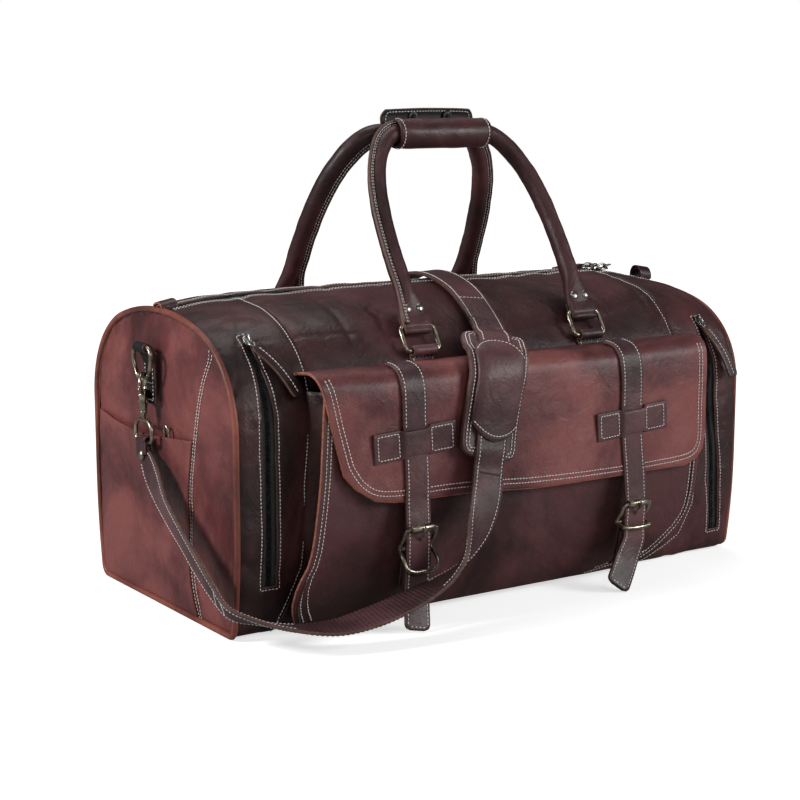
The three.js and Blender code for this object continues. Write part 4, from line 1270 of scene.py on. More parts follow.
def flap():
    turn = np.linspace(-1, 1, 190)
    share = (1 + 0.55 * turn + 0.45 * np.sin(turn * math.pi / 2)) / 2
    bottom_x = -0.212 + share * 0.4375
    run = np.linspace(0, 1, 76)[None, :] * flap_run(np.interp(bottom_x, *FLAP_BOTTOM))[:, None]
    left = flap_left(run)
    points = flap_skin(left + share[:, None] * (FLAP_RIGHT - left), run)[0][::-1]
    parts = Parts()
    panel(parts, points, grid_normals(points), FLAP_HIDE, RED, EDGE, INSIDE, rim=0.0009)
    parts.ride("flap_leather", "flap", "red_leather", ["pocket_flap"], FLAP_BEND)
    rows = Parts()
    for inset in (0.0062, 0.0105):
        line = flap_outline(inset)
        path, normals = flap_skin(line[:, 0], line[:, 1], 0.0002)
        stitch(rows, path, normals)
    rows.ride("flap_stitching", "flap", bend=FLAP_BEND)


TAIL = [(-0.1885, 0.100), (-0.1905, 0.082), (-0.1907, 0.058), (-0.1917, 0.048), (-0.1945, 0.032),
        (-0.2050, 0.0022)]


def buckle_strap_route(side):
    """Centres, directions across and widths of a strap: over the flap, under the roller, down to its tip."""
    x0 = BUCKLE_XS[side]
    lift = 0.0018
    over, _ = flap_skin(np.full(60, x0), np.linspace(0.022, FLAP_LONG - 0.006, 60), lift)
    tail = [(x0, y - lift, z) for y, z in TAIL]
    path = evenly(smooth(np.vstack([over[::4], over[-1:], tail]), 8), 0.0015)
    below = np.clip(1 - path[:, 2] / (ROLLER_ZS[side] - 0.036), 0, 1)
    path[:, 0] += TAIL_SWINGS[side] * below ** 1.2
    path[:, 2] -= 0.22 * (TAIL_SWINGS[side] - TAIL_SWINGS["left"]) * below ** 2
    path[:, 0] += 0.0015 * np.sin(path[:, 2] * 40 + x0 * 30) * step(0.21 - path[:, 2], 0, 0.05)
    width = cut_corners(0.027, lengths(path)[-1] - lengths(path), corner=0.006)
    return path, np.tile((1.0, 0, 0), (len(path), 1)), width


def buckle_strap(side):
    path, across, width = buckle_strap_route(side)
    parts = Parts()
    sides, ups = ribbon(parts, path, across, width, 0.0029, STRAP, DARK_EDGE, INSIDE, crown=0.0002)
    if ups[len(ups) // 2, 1] > 0:
        ups = -ups
    parts.ride(f"buckle_strap_{side}_leather", "flap", "strap_leather", [f"flap_strap_{side}"], FLAP_BEND)
    rows, lift = Parts(), 0.0015
    n = len(path)
    under = np.abs(path[:, 2] - KEEPER_ZS[side]) < 0.014
    for first, last in ((0, int(np.argmax(under))), (n - int(np.argmax(under[::-1])), n - 3)):
        for sign in (-1, 1):
            edge = path[first:last] + sign * 0.0105 * sides[first:last] + lift * ups[first:last]
            stitch(rows, edge, ups[first:last])
    end = path[-3] + np.linspace(-1, 1, 5)[:, None] * 0.0085 * sides[-3] + lift * ups[-3]
    stitch(rows, end, ups[-3])
    rows.ride(f"buckle_strap_{side}_stitching", "flap", bend=FLAP_BEND)
    holes = Parts()
    for k in range(6):
        spot = np.argmin(np.abs(path[:, 2] - (ROLLER_ZS[side] + 0.010 - 0.0165 * k)))
        lathe(holes, path[spot] + ups[spot] * 0.0011, ups[spot],
              [(0.0018, 0), (0.0018, 0.00045), (0.0013, 0.0005)], TAPE, around=12)
    holes.ride(f"buckle_strap_{side}_holes", "flap", bend=FLAP_BEND)


def keeper(side):
    """A stitched leather bar whose raised middle holds the strap down."""
    x0, run = BUCKLE_XS[side], flap_run(KEEPER_ZS[side])
    xs = np.linspace(-0.0455, 0.0455, 64)
    high = 0.0033 * (1 - step(np.abs(xs), 0.0125, 0.0175))
    centres, normals = flap_skin(x0 + xs, np.full(64, run), 0.0)
    centres = centres + normals * (0.0014 + high)[:, None]
    centres[:, 2] += 0.06 * xs
    width = 0.0280 - 0.0050 * (1 - step(np.abs(xs), 0.011, 0.0175))
    parts = Parts()
    sides, ups = ribbon(parts, centres, (0, 0, 1), width, 0.0024, STRAP, DARK_EDGE, INSIDE)
    if ups[0, 1] > 0:
        ups = -ups
    parts.ride(f"strap_keeper_{side}_leather", "flap", "strap_leather", [f"strap_keeper_{side}"])
    rows = Parts()
    for sign in (-1, 1):
        a, b = (3, 19) if sign < 0 else (63 - 19, 63 - 3)
        half = 0.0110
        across = np.linspace(-half, half, 9)
        box = [centres[a] + t * sides[a] for t in across]
        box += [centres[i] + half * sides[i] for i in range(a, b)]
        box += [centres[b] - t * sides[b] for t in across]
        box += [centres[i] - half * sides[i] for i in range(b, a, -1)]
        stitch(rows, np.array(box) + 0.0013 * ups[0], ups[0])
    rows.ride(f"strap_keeper_{side}_stitching", "flap")


BUCKLE_HIGH, BUCKLE_WIRE = 0.040, 0.0019
ROLLER_Y, BAR_Y = -0.1968, -0.1852


def buckle(side):
    x0, top = BUCKLE_XS[side], ROLLER_ZS[side]
    low, middle = top - BUCKLE_HIGH, top - BUCKLE_HIGH / 2
    half = [(0.0140, ROLLER_Y, top), (0.0163, ROLLER_Y + 0.0010, top - 0.0018),
            (0.0170, -0.1915, top - 0.010), (0.0172, BAR_Y, middle)]
    if side == "left":
        half += [(0.0182, -0.1935, low + 0.011), (0.0172, -0.1980, low + 0.0040),
                 (0.0110, -0.1994, low + 0.0006)]
    else:  # this one's lower loop stands out from the bag
        half += [(0.0172, -0.1905, middle - 0.0020), (0.0160, -0.1968, middle - 0.0035),
                 (0.0110, -0.1985, middle - 0.0040)]
        low = middle - 0.0042
    loop = half + [(0, -0.1995, low)] + [(-x, y, z) for x, y, z in half[::-1]]
    path = smooth([(x0 + x, y, z) for x, y, z in loop], 8)
    frame_parts = Parts()
    wire(frame_parts, path, BUCKLE_WIRE, (0, 1, 0.1), METAL)
    for y, z, reach in ((ROLLER_Y, top, 0.0145), (BAR_Y, middle, 0.0168)):
        wire(frame_parts, [(x0 - reach, y, z), (x0, y, z), (x0 + reach, y, z)], BUCKLE_WIRE, (0, 0, 1), METAL)
    frame_parts.ride(f"buckle_frame_{side}_metal", f"buckle_{side}", "antique_metal",
                     [f"buckle_frame_{side}"])
    roller = Parts()
    profile = [(0.0024, -0.0121), (0.0033, -0.0121), (0.0036, -0.0117)]
    profile += [(r, -h) for r, h in profile[::-1]]
    lathe(roller, (x0, ROLLER_Y, top), (1, 0, 0), profile, METAL, around=24)
    roller.ride(f"buckle_roller_{side}_metal", f"roller_{side}", "antique_metal", [f"buckle_roller_{side}"])
    prong = Parts()
    eye = [(0.0024, -0.0017), (0.0036, -0.0017), (0.0036, 0.0017), (0.0024, 0.0017)]
    lathe(prong, (x0, BAR_Y, middle), (1, 0, 0), eye, METAL)
    pin = smooth([
        (x0, BAR_Y - 0.0026, middle + 0.001), (x0, -0.1915, middle + 0.006), (x0, -0.1976, middle + 0.012),
        (x0, -0.2019, top - 0.001), (x0, -0.2021, top + 0.0025),
    ], 6)
    wire(prong, pin, np.linspace(0.0015, 0.0009, len(pin)), (1, 0, 0), METAL, around=10)
    prong.ride(f"buckle_prong_{side}_metal", f"prong_{side}", "antique_metal", [f"buckle_prong_{side}"])
    chape(side, x0, middle)


def chape(side, x0, middle):
    """The folded tab that holds the buckle's bar: two ears round the bar, one leg sewn to the pocket."""
    parts = Parts()
    around_bar = [(BAR_Y + 0.0034 * math.cos(a), middle + 0.0034 * math.sin(a))
                  for a in np.radians(np.linspace(-20, 200, 12))]
    for ear in (-0.0078, 0.0078):
        line = [(-0.1850, middle - 0.036), (-0.1868, middle - 0.020), (-0.1885, middle - 0.006)]
        line += around_bar[::-1] + [(-0.1800, middle - 0.020), (-0.1765, middle - 0.036)]
        fold = smooth([(x0 + ear, y, z) for y, z in line], 3)
        ribbon(parts, fold, (1, 0, 0), 0.0098, 0.0017, STRAP, DARK_EDGE)
    leg = smooth([(x0 - 0.001, -0.1868, 0.056), (x0 - 0.002, -0.1850, 0.040), (x0 - 0.003, -0.1790, 0.026),
                  (x0 - 0.003, -0.1735, 0.020)], 8)
    ribbon(parts, leg, (1, 0, 0), 0.025, 0.0026, STRAP, DARK_EDGE)
    parts.ride(f"buckle_chape_{side}_leather", "root", "strap_leather", [f"buckle_chape_{side}"])


pocket()
flap()
for side in ("left", "right"):
    buckle_strap(side)
    keeper(side)
    buckle(side)


# ---------- the ends ----------

END_CENTRE = np.array((0.0, 0.150))
END_HIDE, PIPING_R = 0.0022, 0.0029
SLIP_Y, SLIP_WIDE = -0.0585, 0.196  # the slip pocket's front edge and its width


def end_outline(inset):
    """The end's outline as (y, z), closed along the floor, set in from the piping."""
    line = SECTION - SECTION_OUT * inset
    bottom = np.stack([np.linspace(BASE_Y, -BASE_Y, 24)[1:-1], np.full(22, inset)], 1)
    return evenly(np.concatenate([line, bottom, line[:1]]), 0.004)[:-1]


def end_skin(sign, y, z, lift=0.0):
    """Points and outward directions on an end: padded in the middle, gathered under the piping."""
    y, z = np.broadcast_arrays(np.asarray(y, float), np.asarray(z, float))
    rim = end_outline(0.003)
    angle = np.arctan2(z - END_CENTRE[1], y - END_CENTRE[0])
    rim_angle = np.arctan2(rim[:, 1] - END_CENTRE[1], rim[:, 0] - END_CENTRE[0])
    order = np.argsort(rim_angle)
    reach = np.linalg.norm(rim - END_CENTRE, axis=1)
    edge = np.interp(angle, rim_angle[order], reach[order], period=2 * math.pi)
    share = np.hypot(y - END_CENTRE[0], z - END_CENTRE[1]) / edge
    bulge = 0.0052 * (1 - np.clip(share, 0, 1) ** 6) - 0.0022 * (1 - np.clip(share, 0, 1) ** 2)
    upper = step(z, 0.10, 0.22)
    near = np.clip((share - 0.55) / 0.45, 0, 1)
    place = np.stack([np.cos(angle) * 2.2, np.sin(angle) * 2.2, share * 0.25], -1)
    gathers = 0.0042 * near ** 1.5 * (1 - near ** 8) * upper * noise_at(place, 4.2, 17.0 + sign)
    flat = np.stack([y, z, 0 * y], -1)
    soft = 0.0013 * noise_at(flat, 13, 6.0 + sign) + 0.0005 * noise_at(flat, 40, 1.0)
    crease = 1 - np.clip(np.abs(noise_at(flat * (1.0, 0.6, 1), 15, 31.0 + sign)) / 0.13, 0, 1)
    out = END_X - 0.0032 + bulge + gathers + soft - 0.0015 * crease ** 2 * (1 - step(share, 0.9, 1)) + lift
    height = z - droop(np.full(y.shape, sign * END_X), z)
    points = np.stack([sign * out, y, np.maximum(height, 0.001)], -1)
    return points, np.tile((float(sign), 0, 0), (*y.shape, 1))


def end_panel(side, sign):
    rim = end_outline(0.003)
    inner = np.linspace(0.0, 0.8, 40) ** 0.8 / 0.8 ** 0.8 * 0.8
    shares = np.concatenate([inner, np.linspace(0.8, 1.0, 18)[1:]])
    shares[0] = 0.004
    loop = np.concatenate([rim, rim[:1]])
    yz = END_CENTRE + (loop - END_CENTRE)[None] * shares[:, None, None]
    points, _ = end_skin(sign, yz[..., 0], yz[..., 1])
    parts = Parts()
    normals = grid_normals(points)
    if normals[..., 0].mean() * sign < 0:
        points = points[:, ::-1]
        normals = grid_normals(points)
    normals[:, 0] = normals[:, -1] = unit(normals[:, 1] + normals[:, -2])
    panel(parts, points, normals, END_HIDE, RED, DARK_EDGE, INSIDE)
    parts.ride(f"{side}_end_leather", "root", "red_leather", [f"{side}_end_panel"])
    cord = Parts()
    line = end_outline(0.0012 if sign < 0 else 0.0046)
    x = np.full(len(line), sign * (END_X - (0.0016 if sign < 0 else 0.0022)))
    path = np.stack([x, line[:, 0], np.maximum(line[:, 1] - droop(x, line[:, 1]), PIPING_R)], 1)
    # The piping's lighter leather is painted highlight along the cord.
    wire(cord, path, PIPING_R, (1, 0, 0), PIPING_PAINTED_HIGHLIGHT, closed=True)
    cord.ride(f"{side}_piping_leather", "root", "piping", [f"{side}_piping"])


def end_seam(z):
    """The seam down the end, beside the slip pocket's edge."""
    above = np.clip((z - 0.09) / 0.17, 0, 1)
    below = np.clip((0.08 - z) / 0.08, 0, 1)
    return -0.056 - 0.040 * above ** 1.7 - 0.013 * below ** 2


def end_seam_pieces(side, sign):
    z, rows = np.linspace(0.004, 0.272, 100), Parts()
    for offset in (-0.0058, -0.0016):
        path, normals = end_skin(sign, end_seam(z) + offset, z, 0.0006)
        stitch(rows, path, normals)
    rows.ride(f"{side}_end_seam_stitching", "root")


def slip_pocket():
    """A flat pocket on the left end; its upper edge stands a little open."""
    y = np.linspace(SLIP_Y, 0.1375, 60)
    parts = Parts()
    share = (y - SLIP_Y) / SLIP_WIDE
    gape = np.sin(np.clip(share, 0, 1) * math.pi)
    top = 0.1745 - 0.006 * gape
    t = np.linspace(0, 1, 60)
    z = 0.006 + (top[:, None] - 0.006) * t[None, :]
    yy = y[:, None] + (end_seam(z) - SLIP_Y) * (1 - share[:, None])
    side_line = np.interp(z, SECTION[FRONT, 1], -SECTION[FRONT, 0]) - 0.004
    yy = np.minimum(yy, side_line)
    mouth = 0.0042 * step(t, 0.75, 1.0)[None, :] * gape[:, None]
    points, _ = end_skin(-1, yy, z, 0.0030)
    points[..., 0] -= mouth
    points, normals = facing(points, (-1, 0, 0))
    panel(parts, points, normals, END_HIDE, RED, RED, INSIDE)
    parts.ride("end_slip_pocket_leather", "root", "red_leather", ["end_slip_pocket"])
    loop = Parts()
    arch = smooth([(-0.3075, -0.026, 0.168), (-0.3080, -0.025, 0.177), (-0.3085, -0.021, 0.1805),
                   (-0.3080, -0.017, 0.177), (-0.3075, -0.016, 0.168)], 6)
    wire(loop, arch, 0.0013, (1, 0, 0), METAL)
    loop.ride("slip_pocket_loop", "root", "antique_metal")


def end_tab(side, sign):
    """The leather tab of the end ring: a tube round the ring's bar, its two layers sewn to the end."""
    x_wall = sign * (END_X + 0.0035)
    x_ring = sign * HARDWARE_X
    z0 = END_LOOP_Z
    loop = [(x_wall, 0.2455), (x_wall + sign * 0.004, 0.2500)]
    loop += [(x_ring + 0.0038 * math.sin(a) * sign, z0 + 0.0038 * math.cos(a))
             for a in np.radians(np.linspace(-50, 200, 10))]
    loop += [(x_wall + sign * 0.0055, 0.2415), (x_wall + sign * 0.0030, 0.234),
             (x_wall + sign * 0.0026, 0.220), (x_wall + sign * 0.0026, 0.198)]
    line = smooth([(x, HARDWARE_Y, z) for x, z in loop], 5)
    parts, rows = Parts(), Parts()
    ribbon(parts, line, (0, 1, 0), 0.0215, 0.0020, RED, DARK_EDGE, INSIDE)
    parts.ride(f"{side}_end_tab_leather", "root", "red_leather", [f"{side}_end_tab"])
    x = x_wall + sign * 0.0039
    top, low, near, far = 0.2370, 0.2020, HARDWARE_Y - 0.008, HARDWARE_Y + 0.008
    for z in (top, 0.2180, low):
        stitch(rows, [(x, near, z), (x, far, z)], (sign, 0, 0))
    for y in (near, far):
        stitch(rows, [(x, y, top), (x, y, low)], (sign, 0, 0))
    rows.ride(f"{side}_end_tab_stitching", "root")


def end_ring(side, sign):
    x = sign * HARDWARE_X
    w = 0.018
    half = [(w - 0.006, 0.0005), (w, -0.005), (w - 0.0015, -0.018), (w - 0.008, -0.0275)]
    loop = half + [(0, -0.030)] + [(-y, z) for y, z in half[::-1]]
    path = smooth([(x, HARDWARE_Y + y, END_LOOP_Z + z) for y, z in loop + loop[:1]], 8)[:-1]
    parts = Parts()
    wire(parts, path, RING_WIRE, (1, 0, 0), METAL, closed=True)
    parts.ride(f"{side}_end_ring_metal", "root", "antique_metal", [f"{side}_end_ring"])


def hook(side, sign):
    """A trigger hook: round head, flat tapering body, sprung gate, swivel and a square eye."""
    def at(y, z, turned=True):
        turn = math.radians(40) * sign if turned else 0.0
        return (sign * HARDWARE_X - y * math.sin(turn), HARDWARE_Y + y * math.cos(turn), END_LOOP_Z + z)

    parts = Parts()
    turn = math.radians(40) * sign
    flat_up = (math.cos(turn), math.sin(turn), 0)
    head = [(0.0048, -0.052), (0.0065, -0.046), (0.0108, -0.041), (0.0118, -0.034), (0.0085, -0.0275),
            (0.001, -0.025), (-0.007, -0.027), (-0.0108, -0.032), (-0.0106, -0.0345)]
    path = smooth([at(y, z) for y, z in head], 8)
    radius = np.interp(np.linspace(0, 1, len(path)), [0, 0.3, 1], [0.0026, 0.0026, 0.0019])
    wire(parts, path, radius, flat_up, METAL)
    body = [(0.0025, -0.040, 0.0085), (0.0020, -0.046, 0.0135), (0.0008, -0.053, 0.0105),
            (0.0, -0.060, 0.0072)]
    line = smooth([at(y, z) for y, z, _ in body], 6)
    wide = np.interp(np.linspace(0, 3, len(line)), range(4), [w for *_, w in body])
    ribbon(parts, line, (-math.sin(turn), math.cos(turn), 0), wide, 0.0058, METAL, METAL, crown=0.0006)
    nose = np.array(flat_up)
    for face in (-1, 1):
        lathe(parts, np.array(at(0.0012, -0.0515)) + face * nose * 0.0030, nose * face,
              [(0.0024, 0), (0.0024, 0.0008), (0.0016, 0.0014), (0.0001, 0.0016)], METAL, around=14)
    swivel = [(0.0020, 0), (0.0036, 0.0012), (0.0036, 0.0040), (0.0022, 0.0052), (0.0022, 0.0105)]
    lathe(parts, at(0, -0.0585), (0, 0, -1), swivel, METAL)
    eye = [(0.0, -0.0690), (0.009, -0.0695), (0.0158, -0.0745), (0.0172, -0.084), (0.0150, -0.0883),
           (0.0, -0.0888)]
    loop = eye + [(-y, z) for y, z in eye[-2:0:-1]]
    path = smooth([at(y, z, False) for y, z in loop + loop[:1]], 7)[:-1]
    wire(parts, path, 0.0020, (1, 0, 0), METAL, closed=True)
    parts.ride(f"{side}_hook_metal", "root", "antique_metal", [f"{side}_hook"])
    gate = Parts()
    line = smooth([at(-0.0105, -0.0350), at(-0.0090, -0.0380), at(-0.0052, -0.0425)], 6)
    wire(gate, line, np.linspace(0.0017, 0.0020, len(line)), flat_up, METAL)
    root, tip = np.array(at(-0.0088, -0.0385)), np.array(at(-0.0170, -0.0375))
    knob = [(0.0012, 0), (0.0012, 0.0030), (0.0021, 0.0034), (0.0021, 0.0046), (0.0010, 0.0050)]
    lathe(gate, root, tip - root, knob, METAL, around=14)
    gate.ride(f"{side}_hook_gate_metal", f"{side}_gate", "antique_metal", [f"{side}_hook_gate"])


def strap_end(side, sign, path):
    """The strap's folded end: it loops round the hook's bar, doubled and riveted."""
    x, z = sign * (HARDWARE_X + 0.0002), END_LOOP_Z - 0.0885
    parts, rivet = Parts(), Parts()
    low = path[min(12, len(path) - 1)]
    turn = np.radians(np.linspace(-20, 200, 9))
    round_bar = [(x + 0.0036 * math.cos(t), HARDWARE_Y, z + 0.0036 * math.sin(t)) for t in turn]
    loop = [low + (0.0034, 0, 0), *round_bar, low - (0.0034, 0, 0)]
    ribbon(parts, smooth(loop, 4), (0, 1, -0.15), 0.0190, 0.0018, STRAP, DARK_EDGE)
    parts.ride(f"{side}_strap_loop_leather", "root", "strap_leather")
    lathe(rivet, low + np.array((sign * 0.0042, 0, 0)), (sign, -0.1, 0.1), RIVET, METAL)
    rivet.ride(f"{side}_strap_rivet", "root", "antique_metal")


RIVET = [(0.0046, -0.0004), (0.0046, 0.0003), (0.0041, 0.0011), (0.0028, 0.0018), (0.0012, 0.0022),
         (0.0001, 0.0023)]
SNAP = [(0.0062, -0.0002), (0.0062, 0.0008), (0.0048, 0.0016), (0.0034, 0.0010), (0.0026, 0.0012),
        (0.0024, 0.0030), (0.0001, 0.0034)]


# ---------- handles ----------

HANDLE_SIDE = [
    (FOOT_X, 0.044), (FOOT_X + 0.001, 0.075), (FOOT_X + 0.001, 0.110), (0.099, 0.150),
    (0.091, 0.186), (0.077, 0.214), (0.064, 0.227), (0.052, HANDLE_REACH), (0.038, HANDLE_REACH),
    (0.015, HANDLE_REACH),
]


def handle_frame(sign):
    """A function from the handle's own (x, out, along) to the bag's frame; out is away from the bag."""
    lean_cos, lean_sin = math.cos(HANDLE_LEAN), math.sin(HANDLE_LEAN)

    def place(x, out, along):
        y = sign * (PIVOT_Y + out * lean_cos - along * lean_sin)
        z = PIVOT_Z + along * lean_cos + out * lean_sin
        return np.stack(np.broadcast_arrays(HANDLE_MID_X + x, y, z), -1)

    return place


def handle(side, sign):
    place = handle_frame(sign)
    spread = FOOT_SPREAD[sign]
    half = [(FOOT_X, 0.0175), (FOOT_X, 0.030)] + HANDLE_SIDE
    line = [(-x, z) for x, z in half]
    line += [(x + spread * min(1.0, max(0.0, (0.214 - z) / 0.17)), z) for x, z in half[::-1]]
    flat = evenly(smooth([(x, 0, z) for x, z in line], 8), 0.0025)
    path = place(flat[:, 0], 0.0, flat[:, 2])
    run = lengths(path)
    end = np.minimum(run, run[-1] - run)
    foot = 1 - step(end, 0.012, 0.052)
    lumps = 0.0005 * noise_at(path, 55, 4.0 + sign) + 0.0003 * noise_at(path, 120, 8.0)
    half_width = HANDLE_R * 0.93 + lumps + (0.0162 - HANDLE_R) * foot
    half_thick = HANDLE_R + lumps - (HANDLE_R - 0.0044) * foot
    out = unit(place(0.0, 1.0, 0.0) - place(0.0, 0.0, 0.0))
    along = tangents(path)
    sides = unit(np.cross(along, np.tile(out, (len(path), 1))))
    ups = np.cross(sides, along)
    power = 1 - 0.45 * foot
    angle = np.linspace(0, 2 * math.pi, 20, endpoint=False)
    c, s = np.cos(angle), np.sin(angle)
    ring_a = np.sign(c) * np.abs(c) ** power[:, None] * half_width[:, None]
    ring_b = np.sign(s) * np.abs(s) ** power[:, None] * half_thick[:, None]
    parts, rows = Parts(), Parts()
    sweep(parts, path, sides, ups, np.stack([ring_a, ring_b], -1), [BROWN])
    angles = np.radians((28, -56) if sign < 0 else (130, 35))
    turn = (angles[0] + (angles[1] - angles[0]) * step(run / run[-1], 0.42, 0.58))[:, None]
    seam_way = sign * (np.cos(turn) * sides - np.sin(turn) * ups)
    reach = (half_width * 0.96)[:, None]
    fin = path + seam_way * (reach + 0.0018)
    fin_up = np.cross(along, seam_way)
    keep = slice(3, len(path) - 3)
    ribbon(parts, fin[keep], seam_way[keep], 0.0072, 0.0034, BROWN, DARK_EDGE)
    for offset in (-0.0010, 0.0014):
        for face in (1, -1):
            spot = fin[keep] + seam_way[keep] * offset + face * fin_up[keep] * 0.0018
            stitch(rows, spot, face * fin_up[keep], pitch=0.0034, long=0.0026, wide=0.0008)
    parts.ride(f"{side}_handle_leather", f"{side}_handle", "brown_leather", [f"{side}_handle"])
    rows.ride(f"{side}_handle_stitching", f"{side}_handle")
    rivets = Parts()
    feet = (("left", -FOOT_X), ("right", FOOT_X + spread))
    for _, x in feet:
        for dx in (-0.0068, 0.0068):
            for face in (1, -1):
                at = place(x + dx, face * 0.0046, 0.0415)
                lathe(rivets, at, out * face, RIVET, STEEL)
    rivets.ride(f"{side}_handle_rivets", f"{side}_handle", "antique_metal")
    for name, x in feet:
        handle_ring(side, name, place, x, out)
        foot_loop(side, name, place, x)
        ring_tab(side, sign, name, x)


def handle_ring(side, name, place, x, out):
    loop = rounded_loop(0.019, 0.0125, 0.0045)
    path = place(x + loop[:, 0], 0.0, 0.0125 + loop[:, 1])
    parts = Parts()
    wire(parts, path, RING_WIRE, out, METAL, closed=True)
    parts.ride(f"{side}_ring_{name}_metal", f"{side}_handle", "antique_metal", [f"{side}_ring_{name}"])


def foot_loop(side, name, place, x):
    """The handle's leather folded round the ring's upper bar."""
    parts = Parts()
    turn = np.radians(np.linspace(90, -90, 9))
    line = [(0.0034, 0.036), (0.0036, 0.030)]
    line += [(0.0038 * math.sin(a), 0.025 - 0.0040 * math.cos(a)) for a in turn]
    line += [(-0.0036, 0.030), (-0.0034, 0.036)]
    fold = smooth([place(x, o, z) for o, z in line], 4)
    ribbon(parts, fold, (1, 0, 0), 0.029, TAB_THICK, BROWN, DARK_EDGE)
    parts.ride(f"{side}_handle_{name}_fold", f"{side}_handle", "brown_leather")


def ring_tab(side, sign, name, x):
    """A strip folded round the ring's lower bar and sewn down to the panel along three sides."""
    x0 = HANDLE_MID_X + x
    top = run_at_height(0.2445)
    down, out = body_skin(np.full(8, x0), np.linspace(top, run_at_height(0.2315), 8), 0.0017, plain=True)
    bar = np.array((x0, -PIVOT_Y, PIVOT_Z))
    turn = np.radians(np.linspace(80, 300, 12))
    loop = [bar + (0, 0.0043 * math.cos(a), 0.0043 * math.sin(a)) for a in turn]
    parts, rows = Parts(), Parts()
    line = smooth(np.vstack([loop, down[1:]]), 4)
    flip = np.array((1, sign * -1.0, 1))
    ribbon(parts, line * flip, (1, 0, 0), 0.0268, TAB_THICK, STRAP, DARK_EDGE, INSIDE)
    parts.ride(f"{side}_ring_tab_{name}_leather", "root", "strap_leather", [f"{side}_ring_tab_{name}"])
    edge = line[-22:-3] * flip
    outward = out[3] * flip
    half, lift = 0.0105, outward * 0.0011
    for dx in (-half, half):
        stitch(rows, edge + np.array((dx, 0, 0)) + lift, outward)
    foot = edge[0] + np.array([(t, 0, 0) for t in np.linspace(-half, half, 5)])
    stitch(rows, foot + lift, outward)
    rows.ride(f"{side}_ring_tab_{name}_stitching", "root")


def grip_wrap():
    """A padded sleeve round the front handle, with a free flap behind that carries two snaps."""
    grip = handle_frame(-1)(0.0, 0.0, HANDLE_REACH)
    half = 0.055
    parts, rows = Parts(), Parts()
    xs = np.linspace(-half, half, 60)
    swell = 0.0152 - 0.0009 * (np.abs(xs) / half) ** 4
    centres = grip + np.stack([xs, 0 * xs, 0 * xs], -1)
    angle = np.linspace(0, 2 * math.pi, 36, endpoint=False)
    places = np.broadcast_arrays(xs[:, None], 0.02 * np.cos(angle), 0.02 * np.sin(angle))
    radius = swell[:, None] + 0.0006 * noise_at(np.stack(places, -1), 60, 3.0)
    rings_out = np.stack([radius * np.cos(angle), radius * np.sin(angle)], -1)
    inner = rings_out * ((swell - 0.0028) / swell)[:, None, None]
    rings = np.concatenate([rings_out, inner[::-1]])
    sides, ups = (np.tile(way, (len(rings), 1)) for way in ((0.0, 1, 0), (0.0, 0, 1)))
    sweep(parts, np.concatenate([centres, centres[::-1]]), sides, ups, rings, [BROWN], closed=True)
    parts.ride("grip_wrap_leather", "front_handle", "brown_leather", ["grip_wrap"])
    turn = np.linspace(0, 2 * math.pi, 60)
    for x in (-half + 0.004, half - 0.004):
        way = np.stack([0 * turn, np.cos(turn), np.sin(turn)], 1)
        stitch(rows, grip + (x, 0, 0) + way * 0.0150, way)
    rows.ride("grip_wrap_stitching", "front_handle")
    wrap_flap(grip, half)


def wrap_flap(grip, half):
    """The sleeve's free end stands up behind the grip and shows its dark inside, with two snaps."""
    t = np.linspace(0, 1, 26)
    u = np.linspace(-1, 1, 70)
    back = np.interp(t, [0, 0.3, 0.7, 1], [0.0163, 0.0176, 0.0180, 0.0168])
    up = 0.0037 + 0.0205 * t
    reach = half - 0.0018 - np.clip(0.009 - (1 - t) * 0.0205, 0, 1) ** 2 / 0.009 * 0.6
    x = grip[0] + u[:, None] * reach[None, :] - 0.0055 * np.clip(-u, 0, 1)[:, None]
    wave = 0.0008 * np.sin(u * 5)[:, None] * t[None, :]
    z = grip[2] + up[None, :] - 0.0012 * (u ** 2)[:, None] * t[None, :]
    points = np.stack([x, grip[1] + back[None, :] + wave, z], -1)
    parts, rows, snaps = Parts(), Parts(), Parts()
    points, normals = facing(points, (0, -1, 0))
    panel(parts, points, normals, 0.0020, INSIDE, DARK_EDGE, BROWN)
    parts.ride("grip_wrap_flap_leather", "wrap_flap", "brown_leather", ["grip_wrap_flap"])
    rim = [points[3, k] for k in range(2, 23)]
    rim += [points[i, 22] for i in range(3, 67)]
    rim += [points[66, k] for k in range(22, 1, -1)]
    for face in (-1, 1):
        stitch(rows, np.array(rim) + (0, -0.0002 if face < 0 else 0.0022, 0), (0, face, 0))
    rows.ride("grip_wrap_flap_stitching", "wrap_flap")
    for x in (-0.021, 0.021):
        at = grip + (x, 0.0174, 0.0160)
        lathe(snaps, at, (0, -1, 0), SNAP, TEETH)
        lathe(snaps, at + (0, 0.0022, 0), (0, 1, 0), RIVET, STEEL)
    snaps.ride("grip_wrap_snaps", "wrap_flap", "antique_metal")


# ---------- the pad ----------

